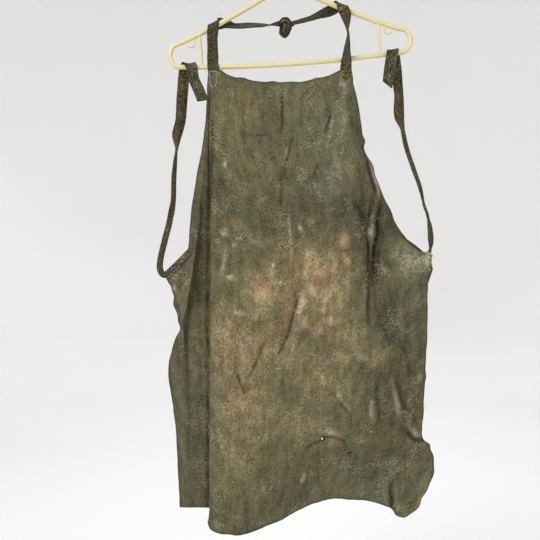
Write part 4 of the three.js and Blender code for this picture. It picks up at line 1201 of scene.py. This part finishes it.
def section(s, fold, width):
    """Offsets across and through a strap at s from -0.5 to 0.5 of its width."""
    reach = np.abs(s) * width
    swing = math.pi * (1 - fold)
    apart = 0.5 * fold * (STRAP_WALL + FOLD_ROOM) * (1 - np.exp(-reach / FOLD_ROUND))
    flap = s < 0
    sideways = np.where(flap, reach * math.cos(swing), reach) - fold * width / 4
    through = np.where(flap, reach * math.sin(swing) + apart, -apart)
    return sideways, through + CURL * (1 - fold) * (4 * s * s - CURL_LEVEL)


def rolled(s, tightness, width):
    """Offsets like section's, for a strap rolled lengthwise into a tube."""
    turn = s * math.tau * tightness
    radius = width / (math.tau * tightness)
    return radius * np.sin(turn), -radius * np.cos(turn)


def strap_grid(stations, seed, width=STRAP_WIDTH, shape=section, slant=0.0):
    """A strap's points, flat sizes, marks and length. Its last end is cut slant mm out of square."""
    at, crossing, folds = (np.array(column) for column in zip(*stations))
    knots = np.concatenate([[0], np.cumsum(np.sqrt(np.linalg.norm(np.diff(at, axis=0), axis=1)))])
    fine = np.linspace(0, knots[-1], FINE_STEPS * len(at))
    length = running_length(curve_through(at, knots, fine)[:, None], 0)[:, 0]
    rows = max(FEWEST_ROWS, round(length[-1] / STRAP_STEP))
    places = even_steps(fine, length, rows)
    path = curve_through(at, knots, places)
    along = np.gradient(path, axis=0)
    along /= np.linalg.norm(along, axis=1, keepdims=True)
    side = np.stack([np.interp(places, knots, crossing[:, axis]) for axis in range(3)], -1)
    side -= along * np.sum(along * side, axis=1, keepdims=True)
    side /= np.linalg.norm(side, axis=1, keepdims=True)
    facing = np.cross(along, side)
    fold = smooth(knots, folds, places)
    s = np.linspace(-0.5, 0.5, STRAP_COLUMNS + 1)
    run = np.linspace(0, length[-1], rows + 1)
    border = np.abs(s) == 0.5
    grid = []
    for row in range(rows + 1):
        opened = 1 - fold[row]
        sideways, through = shape(s, fold[row], width * (1 + waver("width", run[row], seed)))
        sideways = sideways + np.sign(s) * waver("fray", run[row], seed) * border * opened
        through = through + waver("twist", run[row], seed) * 2 * s * opened
        near_end = ease(1 - (run[-1] - run[row]) / (2 * width))
        longer = along[row] * (slant * near_end * s)[:, None]
        grid.append(path[row] + sideways[:, None] * side[row] + through[:, None] * facing[row] + longer)
    flat = np.stack(np.meshgrid(s * width, -run), -1)
    from_side = (0.5 - np.abs(s)) * width
    from_end = np.minimum(run, run[-1] - run)
    rim = np.minimum(*np.meshgrid(from_side, from_end))
    return np.array(grid), flat, {"edge": np.exp(-(rim / STRAP_EDGE_DARK) ** 2)}, length[-1]


def strap(name, stations, seed, node, slant=0.0):
    """A whole strap as a piece in place of its solid."""
    points, flat, marks, length = strap_grid(stations, seed, slant=slant)
    mesh = laid_grid(name, points, flat, marks)
    piece = show(name, mesh, [STRAP, STRAP_BACK, STRAP_EDGE], [node])
    walled(piece, STRAP_WALL)
    print(name, "is", round(length), "mm long")
    return piece


print("strap builder ready")

# %% [markdown]
# Neck strap. Its left half is sewn behind the bib's corner and goes up over the left arm, and its right
# half is held by the stud and twists once below the right arm. Both run behind the hanger to the knot.

# %% Neck strap
KNOT = np.array([4.3, 4.0, -143.0])
KNOT_REACH = 9.0

strap("neck_strap_left_suede", [
    *sewn("bib_left"),
    *route(
        ((-118.5, -6.2, -214), LEVEL), ((-118.8, -8, -185), (0.86, 0.5, 0)),
        ((-119.3, -7.5, -165), (0.86, 0.5, 0.1)),
    ),
    *over(left_arm, 0.585, FROM_FRONT, travel=9, last=0.22),
    *route(
        ((-101, 9, -139), (0.4, 0.3, 0.85)), ((-84, 7, -144), (0, 0.71, 0.7)),
        ((-56, 4, -144), (0, 0.77, 0.63)), ((-35, 4, -144), (0, 0.84, 0.54)),
        ((-23, 4, -143.5), (0, 0.95, 0.31)), ((-15, 4, -142.2), (0, 1, 0.12)),
        (KNOT - (KNOT_REACH, 0, -1.8), (0, 0.98, -0.15)),
    ),
], seed=21, node="neck_strap_left")
strap("neck_strap_right_suede", [
    *sewn("bib_right"),
    *route(
        ((106.5, -5.6, -222), (0.97, -0.2, 0)), ((106.5, -9.8, -214), (0.85, -0.5, 0)),
        ((106.5, -12.6, -206), (0.74, -0.67, 0)), ((106.5, -13.6, -197), (0.55, -0.84, 0)),
        ((107.5, -13.6, -182), (0.33, -0.94, 0)), ((109, -11.5, -160), (-0.08, -1, 0)),
        ((108.5, -9, -143), (0.38, -0.92, 0)), ((106, -6.8, -128), (0.8, -0.5, -0.3)),
    ),
    *over(arm, 0.395, FROM_FRONT, travel=-11, last=0.3),
    *route(
        ((83, 12.5, -115), (0.4, 0.55, -0.7)), ((66, 9, -122), (0.25, 0.9, -0.36)),
        ((44, 5, -132), (0.1, 1, 0)), ((25, 4, -137.5), (0, 1, 0.05)),
        (KNOT + (KNOT_REACH, 0, 2.5), (0, 1, 0.05)),
    ),
], seed=22, node="neck_strap_right")

# %% [markdown]
# Waist ties. Each is sewn to a waist corner, folded lengthwise to its first twist, and laid over the
# hanger's bar with its free end hanging in front.

# %% Waist ties
strap("waist_tie_left_suede", [
    *sewn("waist_left"),
    *route(
        ((-203, -1, -569), (0.1, 0, 1)), ((-208.5, 0, -560), (1, 0, 0.4)), ((-208.5, 3, -544), LEVEL),
        ((-200, 6, -505), LEVEL), ((-193, 8, -476), LEVEL), ((-188, 9, -442), (0.6, 0.8, 0)),
        ((-187, 9, -405), (0.55, 0.83, 0)), ((-185, 9, -380), (0.3, 0.95, 0)),
        ((-182.5, 9, -358), (-0.1, 1, 0)),
        fold=FOLDED,
    ),
    station((-180, 9, -340), (0.3, 0.95, 0), 0.7),
    station((-177.5, 9, -322), (0.65, 0.75, 0), 0.2),
    *route(((-174.5, 8, -302), (0.82, 0.55, 0)), ((-172, 7.6, -262), (0.92, 0.38, 0))),
    *over(bar, 0.034, FROM_BACK, travel=12),
    *route(
        ((-151, -8, -237), (0.84, 0.42, 0.3)), ((-142, -10, -258), (0.92, 0.25, 0.3)),
        ((-134.8, -12.5, -276), (0.96, 0, 0.28)),
    ),
], seed=23, node="waist_tie_left", slant=4.0)
strap("waist_tie_right_suede", [
    *sewn("waist_right"),
    *route(
        ((247, 18.5, -535), (0.1, 0.7, 0.7)), ((253, 19.5, -531), (-0.1, 1, 0.3)),
        ((254.8, 18, -522), (0.4, 0.92, 0)), ((254.4, 15.5, -507), (0.95, 0.3, 0)),
        ((252.6, 14.5, -489), (0.8, 0.6, 0)), ((249.8, 14, -471), (0.1, 0.99, 0)),
        ((247.6, 14, -462), (0.1, 0.99, 0)), ((243, 13.5, -450), (0.1, 0.99, 0)),
        ((235.5, 12, -420), (0.55, 0.83, 0.1)), ((222.5, 11, -384), (0.68, 0.74, 0.15)),
        ((210.5, 10, -348), (0.7, 0.7, 0.15)),
        fold=FOLDED,
    ),
    station((204.5, 9, -318), (0.6, 0.8, 0.1), 0.85),
    station((201, 8, -294), (0.85, 0.5, 0), 0.35),
    station((198.5, 7.6, -260), (0.85, 0.5, 0)),
    *over(bar, 0.9627, FROM_BACK, travel=-5),
    *route(((181.5, -7, -214), (1, 0, -0.1)), ((176.4, -7.4, -248), (0.95, 0.3, -0.1))),
], seed=24, node="waist_tie_right", slant=9.0)

# %% [markdown]
# The knot is strap too, rolled into a cord and pulled tight. The cord comes from the left strap, goes
# over the top and down the right side, turns up at the lower left and leaves behind itself to the right
# strap. A short cut end is tucked into the middle. Both strips are joined into one piece that stands for
# the knot.

# %% Knot
def joined(name, meshes):
    """One mesh from several, each already in place."""
    shape = bmesh.new()
    for mesh in meshes:
        shape.from_mesh(mesh)
    return meshed(name, shape)


KNOT_STRIPS = {  # strip: rows of a point from the knot's middle and the direction across
    "loop": [
        ((-12, 2, 1.5), (0, 0.5, 1)), ((-7, -2, 3.5), (-0.3, 0.5, 1)), ((-2.5, -4.5, 7), (-0.2, 0.4, 1)),
        ((3, -4, 6.2), (0.4, 0.4, 0.9)), ((6.6, -3, 0.5), (1, 0.4, 0)), ((5.4, -3.5, -7), (1, 0.4, 0)),
        ((2.8, -4.5, -14), (0.9, 0.4, -0.4)), ((-0.8, -4.5, -18.8), (0, 0.4, -1)),
        ((-5.3, -2.5, -14), (-1, 0.4, 0)), ((-5.8, 0, -8), (-1, 0.5, 0)), ((-5.2, 2.5, -2), (-1, 0.6, 0)),
        ((0, 5, 1), (-0.4, 0.8, 0.4)), ((6, 4, 2), (0, 0.6, 0.8)), ((12, 3, 3), (0, 0.5, 1)),
    ],
    "end": [
        ((-3.2, 3.5, 5.5), (1, 0.3, 0)), ((-1.8, 1, 3.2), (1, 0.3, 0)), ((0.4, -1.5, -2), (1, 0.3, 0)),
        ((0.6, -4, -7), (1, 0.3, 0)), ((-0.5, -6.5, -11), (1, 0.3, 0)), ((-0.5, -6.5, -15.5), (1, 0.3, 0)),
    ],
}
ROLL, KNOT_SIZE, KNOT_SEED = 0.93, 1.1, 31
CRUMPLE, CRUMPLE_SIZE, CRUMPLE_SEED = 1.4, 4.5, 5
noise.seed_set(CRUMPLE_SEED)


def knot_strip(rows, seed):
    stations = [station(KNOT + KNOT_SIZE * np.array(at), crossing, ROLL) for at, crossing in rows]
    points, flat, marks, length = strap_grid(stations, seed, shape=rolled)
    crumple = [[noise.noise_vector(Vector(point) / CRUMPLE_SIZE) for point in row] for row in points]
    return laid_grid("knot_strip", points + CRUMPLE * np.array(crumple), flat, marks), length


made = [knot_strip(rows, seed) for seed, rows in enumerate(KNOT_STRIPS.values(), KNOT_SEED)]
strips, lengths = zip(*made)
knot_mesh = joined("neck_knot_suede", strips)
knot = show("neck_knot_suede", knot_mesh, [STRAP, STRAP_BACK, STRAP_EDGE], ["neck_knot"])
walled(knot, STRAP_WALL)

# %% [markdown]
# Stitches are short lengths of pale thread. Each is a small ball drawn out along the seam, half sunk in
# the suede. The neck strap's left end is sewn in a box with a round foot, and the left tie in two rows
# along the flap.

# %% Stitches
STITCH = {"length": 3.4, "thick": 1.9, "sides": 8, "rings": 6}
STRAP_BOX = {"left": 209.6, "right": 216.6, "top": 71.5, "foot": 86}  # pixels
FOOT_DEPTH = 1.2
HIDE_PROUD, TIE_PROUD = 0.2, 0.5  # how far the middle of the thread stands out of the suede
HIDE_FACE = HIDE_WALL / 2 + HIDE_PROUD
TIE_FACE = HIDE_WALL / 2 + SOFT_GAP + 2 * STRAP_WALL + TIE_PROUD


def arc(start, end, count):
    """Angles from one number of degrees to another."""
    return np.radians(np.linspace(start, end, count))


def stitch_row(shape, pixels, zone, raise_by, gap):
    """Stitches along a line through pixels of the hide, standing raise_by mm above its middle."""
    places = [on_hide(px, py, zone) for px, py in pixels]
    path = np.array([at + facing * raise_by for at, facing in places])
    run = running_length(path[:, None], 0)[:, 0]
    size = Matrix.Diagonal((STITCH["length"] / 2, STITCH["thick"] / 2, STITCH["thick"] / 2, 1))
    for start in np.arange(0, run[-1] - STITCH["length"] / 2, STITCH["length"] + gap):
        ends = curve_through(path, run, np.array([start, start + STITCH["length"]]))
        turn = Vector(ends[1] - ends[0]).to_track_quat("X", "Z").to_matrix().to_4x4()
        place = Matrix.Scale(MM, 4) @ Matrix.Translation(ends.mean(0)) @ turn @ size
        sides, rings = STITCH["sides"], STITCH["rings"]
        bmesh.ops.create_uvsphere(shape, u_segments=sides, v_segments=rings, radius=1, matrix=place)


def box_pixels(left, right, top, foot):
    """A seam round a box with a straight top and a round foot, once round."""
    middle, radius = (left + right) / 2, (right - left) / 2
    depth, half_way = FOOT_DEPTH * radius, (top + foot) / 2
    curve = [(middle + radius * math.cos(a), foot - radius + depth * math.sin(a)) for a in arc(0, 180, 9)]
    right_side = [(left, top), (middle, top), (right, top), (right, half_way)]
    return [*right_side, *curve, (left, half_way), (left, top)]


STITCH_ROWS = [  # pixels of the row, zone, height above the hide's middle and gap between stitches
    (box_pixels(**STRAP_BOX), "all", HIDE_FACE, 0.4),
    ([(169, 277), (175, 272), (182, 266)], "left", TIE_FACE, 3.0),
    ([(170, 282), (175, 277), (183, 269)], "left", HIDE_FACE, 4.5),
]
seams = bmesh.new()
for row in STITCH_ROWS:
    stitch_row(seams, *row)
seam_mesh = meshed("stitches", seams)
seam_mesh.shade_smooth()
show("stitches", seam_mesh, [THREAD])
print("stitches:", len(seam_mesh.polygons) // (STITCH["sides"] * STITCH["rings"]))

# %% [markdown]
# The stud is a domed brass cap with a rolled rim, on a post through hide and strap, with a washer behind.
# A profile of a few points is spun round its axis, then turned to sit square on the hide where its solid
# is.

# %% Stud
STUD = {"radius": 6.2, "dome": 3.4, "rim": 1.0, "post": 1.7, "washer": 4.5, "dome_share": 0.86, "seat": 0.3}
STUD_STEPS = 48
MERGE = 1e-6


def turned(profile, steps):
    """A shape turned round the upright axis from a profile of radius and height in mm."""
    shape = bmesh.new()
    verts = [shape.verts.new((radius * MM, 0, height * MM)) for radius, height in profile]
    edges = [shape.edges.new(pair) for pair in zip(verts[:-1], verts[1:])]
    bmesh.ops.spin(
        shape, geom=verts + edges, cent=(0, 0, 0), axis=(0, 0, 1), angle=math.tau, steps=steps,
        use_merge=True)
    bmesh.ops.remove_doubles(shape, verts=shape.verts, dist=MERGE)
    bmesh.ops.recalc_face_normals(shape, faces=shape.faces)
    return shape


stud_low, stud_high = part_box("strap_stud")
stud_at = np.array((stud_low + stud_high) / 2) / MM
stud_at, stud_out = on_hide(*seen(stud_at), "all")
cap_seat = HIDE_WALL / 2 + STUD["seat"]
back_seat = -(HIDE_WALL / 2 + SOFT_GAP + STRAP_WALL + STUD["seat"])
back_face = back_seat - STUD["rim"]
roll = STUD["rim"] / 2
dome_reach, dome_rise = STUD["radius"] * STUD["dome_share"], STUD["dome"] - STUD["rim"]
dome_seat = cap_seat + STUD["rim"]
swell = [(dome_reach * math.sin(a), dome_seat + dome_rise * math.cos(a)) for a in arc(0, 90, 10)]
rim_middle = STUD["radius"] - roll
rim_roll = [(rim_middle + roll * math.cos(a), cap_seat + roll * (1 + math.sin(a))) for a in arc(80, -90, 8)]
post = [(STUD["post"], cap_seat), (STUD["post"], back_seat)]
washer = [(STUD["washer"], back_seat), (STUD["washer"], back_face), (0, back_face)]
cap = turned(swell + rim_roll + post + washer, STUD_STEPS)
turn = Vector(stud_out).to_track_quat("Z", "Y").to_matrix().to_4x4()
bmesh.ops.transform(cap, matrix=Matrix.Translation(Vector(stud_at) * MM) @ turn, verts=cap.verts)
cap_mesh = meshed("strap_stud_cap", cap)
smooth_shaded(cap_mesh)
show("strap_stud_cap", cap_mesh, [BRASS], ["strap_stud"])
print("stud at", np.round(stud_at), "mm")

# %% [markdown]
# The hanger is one plastic moulding of round rods. Each rod is a grid rolled into a tube: its rows follow
# the rod's line and its columns go round it. The seam is merged and open ends are filled. The bar, ends
# and arms are one closed loop, and the hook, posts and strap hooks grow out of it.

# %% Hanger
ROD_SIDES = 20
ROD_STEPS = {"bar": 60, "end": 24, "arm": 50, "hook": 90, "post": 12, "curl": 30}
HOOK_NECK = [(0, -2), (0, 16), (4, 30)]  # places of the hook's stem, from the peak of the arms
HOOK_BEND = (0.7, -0.8)  # where the stem joins the round of the hook, in shares of its radius
HOOK_ANGLE, HOOK_PLACES = 205, 14
POST = {"x": 152, "rod": 5}
STRAP_HOOK = {"x": 162, "drop": 15, "curl": 6, "rod": 4}
CURL_LINE = [  # shares of a strap hook's curl outwards, of its drop down and of its curl up
    (0, 0, 0), (0, 0.6, 0), (0.3, 1, 0), (1, 1, -0.3), (1.8, 1, 0.2),
]


def rod_mesh(path, diameter, closed=False):
    """A round rod along a path of points in mm that lies in the hanger's plane."""
    ahead = np.roll(path, -1, axis=0) - np.roll(path, 1, axis=0) if closed else np.gradient(path, axis=0)
    ahead /= np.linalg.norm(ahead, axis=1, keepdims=True)
    back = np.array([0, 1, 0])
    beside = np.cross(ahead, back)
    turns = np.linspace(0, math.tau, ROD_SIDES + 1)
    ring = np.cos(turns)[None, :, None] * beside[:, None] + np.sin(turns)[None, :, None] * back
    points = path[:, None] + ring * diameter / 2
    if closed:
        points = np.concatenate([points, points[:1]])
    flat = np.zeros((*points.shape[:2], 2))
    mesh = laid_grid("rod", points, flat, {})
    shape = bmesh.new()
    shape.from_mesh(mesh)
    bmesh.ops.remove_doubles(shape, verts=shape.verts, dist=MERGE)
    ends = [edge for edge in shape.edges if edge.is_boundary]
    bmesh.ops.holes_fill(shape, edges=ends)
    bmesh.ops.recalc_face_normals(shape, faces=shape.faces)
    shape.to_mesh(mesh)
    shape.free()
    return mesh


def oval_arc(centre, reach, height, start, end, count):
    """Places on an upright oval from one angle to another, in degrees."""
    angles = arc(start, end, count)
    return np.stack([centre[0] + reach * np.cos(angles), centre[1] + height * np.sin(angles)], -1)


def rounded(places, count):
    """A smooth line of count points through a few places."""
    places = np.array(places, float)
    knots = np.concatenate([[0], np.cumsum(np.linalg.norm(np.diff(places, axis=0), axis=1))])
    return curve_through(places, knots, np.linspace(0, knots[-1], count))


def arm_height(x):
    """The height of the arm above the bar at x."""
    line = arm(np.linspace(0, 1, 200))
    return float(np.interp(x, line[:, 0], line[:, 1]))


def even(name, start=0, end=1):
    return np.linspace(start, end, ROD_STEPS[name])


shoulder, lift, reach = HANGER["shoulder"], HANGER["end_height"], HANGER["end_reach"]
loop = np.concatenate([
    bar(even("bar"))[:-1],
    oval_arc((shoulder, lift), reach, lift, -90, 90, ROD_STEPS["end"])[:-1],
    arm(even("arm", 1, 0))[:-1],
    left_arm(even("arm"))[:-1],
    oval_arc((-shoulder, lift), reach, lift, 90, 270, ROD_STEPS["end"])[:-1],
])
hook_radius, peak = HANGER["hook_radius"], HANGER["peak"]
eye = HANGER["hook_height"] - hook_radius + HANGER["hook_rod"] / 2
hook_line = rounded([
    *[(x, peak + up) for x, up in HOOK_NECK],
    (HOOK_BEND[0] * hook_radius, eye + HOOK_BEND[1] * hook_radius),
    *oval_arc((0, eye), hook_radius, hook_radius, 0, HOOK_ANGLE, HOOK_PLACES),
], ROD_STEPS["hook"])
rods = [rod_mesh(hung(loop), HANGER["rod"], closed=True), rod_mesh(hung(hook_line), HANGER["hook_rod"])]
x, drop, curl = STRAP_HOOK["x"], STRAP_HOOK["drop"], STRAP_HOOK["curl"]
for side in (-1, 1):
    post_x, post_top, hook_top = side * POST["x"], arm_height(POST["x"]), arm_height(x)
    post_line = rounded([(post_x, 0), (post_x, post_top)], ROD_STEPS["post"])
    curl_line = rounded([
        (side * (x + out_by * curl), hook_top - down_by * drop + up_by * curl)
        for out_by, down_by, up_by in CURL_LINE
    ], ROD_STEPS["curl"])
    rods += [rod_mesh(hung(post_line), POST["rod"]), rod_mesh(hung(curl_line), STRAP_HOOK["rod"])]
hanger_mesh = joined("hanger_moulding", rods)
smooth_shaded(hanger_mesh)
show("hanger_moulding", hanger_mesh, [PLASTIC], ["hanger"])
print("hanger rods:", len(rods))

# %% [markdown]
# The torn corner at the right of the waist shows pale inner fibres. A few short tongues of suede, each a
# small tapered grid, stick out of the tear.

# %% Torn corner
TONGUES = table(
    "px py length width lean",
    (424, 253.5, 13, 5.5, -4), (427, 256.5, 7, 7, 20), (428, 262, 4, 7, 45), (429, 269, 3, 5, 65),
)
TONGUE = {"root": 0.4, "tip": 0.35, "lift": 2.2, "wall": 1.0, "rows": 9, "columns": 5, "spacing": 13}


def tongue(px, py, length, width, lean, seed):
    """A tapered strip that leaves the hide at a pixel, lean degrees below level, and lifts to the front."""
    root = on_hide(px, py, "right")[0]
    way = np.array([math.cos(math.radians(lean)), 0, -math.sin(math.radians(lean))])
    side = np.cross(way, (0, -1, 0))
    along = np.linspace(-TONGUE["root"], 1, TONGUE["rows"])
    s = np.linspace(-0.5, 0.5, TONGUE["columns"])
    outside = np.clip(along, 0, 1)
    taper = np.clip(1 - outside ** 3, TONGUE["tip"], 1)
    lift = TONGUE["lift"] * outside ** 2
    points = [root + way * length * a + side * (s * width * t)[:, None] + np.array([0, -up, 0])
              for a, t, up in zip(along, taper, lift)]
    flat = np.stack(np.meshgrid(s * width, -along * length), -1) + (seed * TONGUE["spacing"], 0)
    return laid_grid("tongue", np.array(points), flat, {"edge": np.zeros(flat.shape[:2])})


TORN = suede_finish("torn_suede", (colour("b8b08c"), colour("948c6c")), {}, edge_dark=0.0, wear=0.6)
tongues = [tongue(*row, seed) for seed, row in enumerate(zip(*TONGUES.values()))]
torn = show("torn_corner", joined("torn_corner", tongues), [TORN, TORN, TORN])
walled(torn, TONGUE["wall"])
print("tongues at the tear:", len(TONGUES["px"]))

# %% [markdown]
# The studio is a wide pale bowl: a floor that turns up into a wall all round, so that every view has the
# same plain ground. One large soft light stands high at the front left, a weaker one fills from the
# right, a third lights the back, and the sky of the world lifts the shadows.

# %% Studio
FLOOR = -1500
BOWL = table(
    "radius height",
    (0, 0), (1200, 0), (2800, 0), (3400, 120), (3850, 500), (4000, 1100), (4000, 4500),
)
BOWL_STEPS = 64
bowl = turned([(radius, FLOOR + height) for radius, height in zip(*BOWL.values())], BOWL_STEPS)
bmesh.ops.reverse_faces(bowl, faces=bowl.faces)
bowl_mesh = meshed("studio_bowl", bowl)
bowl_mesh.shade_smooth()
paper, paper_tree, paper_shader = new_material("studio_paper")
paper_drift = clouds(paper_tree, own_place(paper_tree), scale=0.8, detail=2.0)
paper_tone = mixed(paper_tree, paper_drift, colour("ececec"), colour("efeeed"))
paper_tree.links.new(paper_tone, paper_shader.inputs["Base Color"])
paper_shader.inputs["Roughness"].default_value = 0.9
studio = bpy.data.objects.new("studio_bowl", bowl_mesh)
bowl_mesh.materials.append(paper)
scene.collection.objects.link(studio)

CENTRE = (0, 0, -0.55)
LIGHTS = {  # light: place and size in metres, power and tint
    "key": ((-1.5, -2.2, 1.1), 1.6, 80, (1.0, 0.99, 0.97)),
    "fill": ((2.2, -1.8, -0.2), 2.2, 22, (1.0, 0.98, 0.95)),
    "rear": ((0.5, 2.6, 1.2), 2.4, 40, (0.97, 0.99, 1.0)),
}
for name, (place, size, power, tint) in LIGHTS.items():
    light = bpy.data.lights.new(name, "AREA")
    light.size = size
    light.energy = power
    light.color = tint
    lamp = bpy.data.objects.new(name, light)
    lamp.location = place
    lamp.rotation_euler = (Vector(CENTRE) - Vector(place)).to_track_quat("-Z", "Y").to_euler()
    scene.collection.objects.link(lamp)
world = bpy.data.worlds.new("studio_sky")
world.use_nodes = True
sky = world.node_tree.nodes["Background"]
sky.inputs["Color"].default_value = (0.96, 0.98, 1.0, 1)
sky.inputs["Strength"].default_value = 0.55
scene.world = world
print("studio ready")
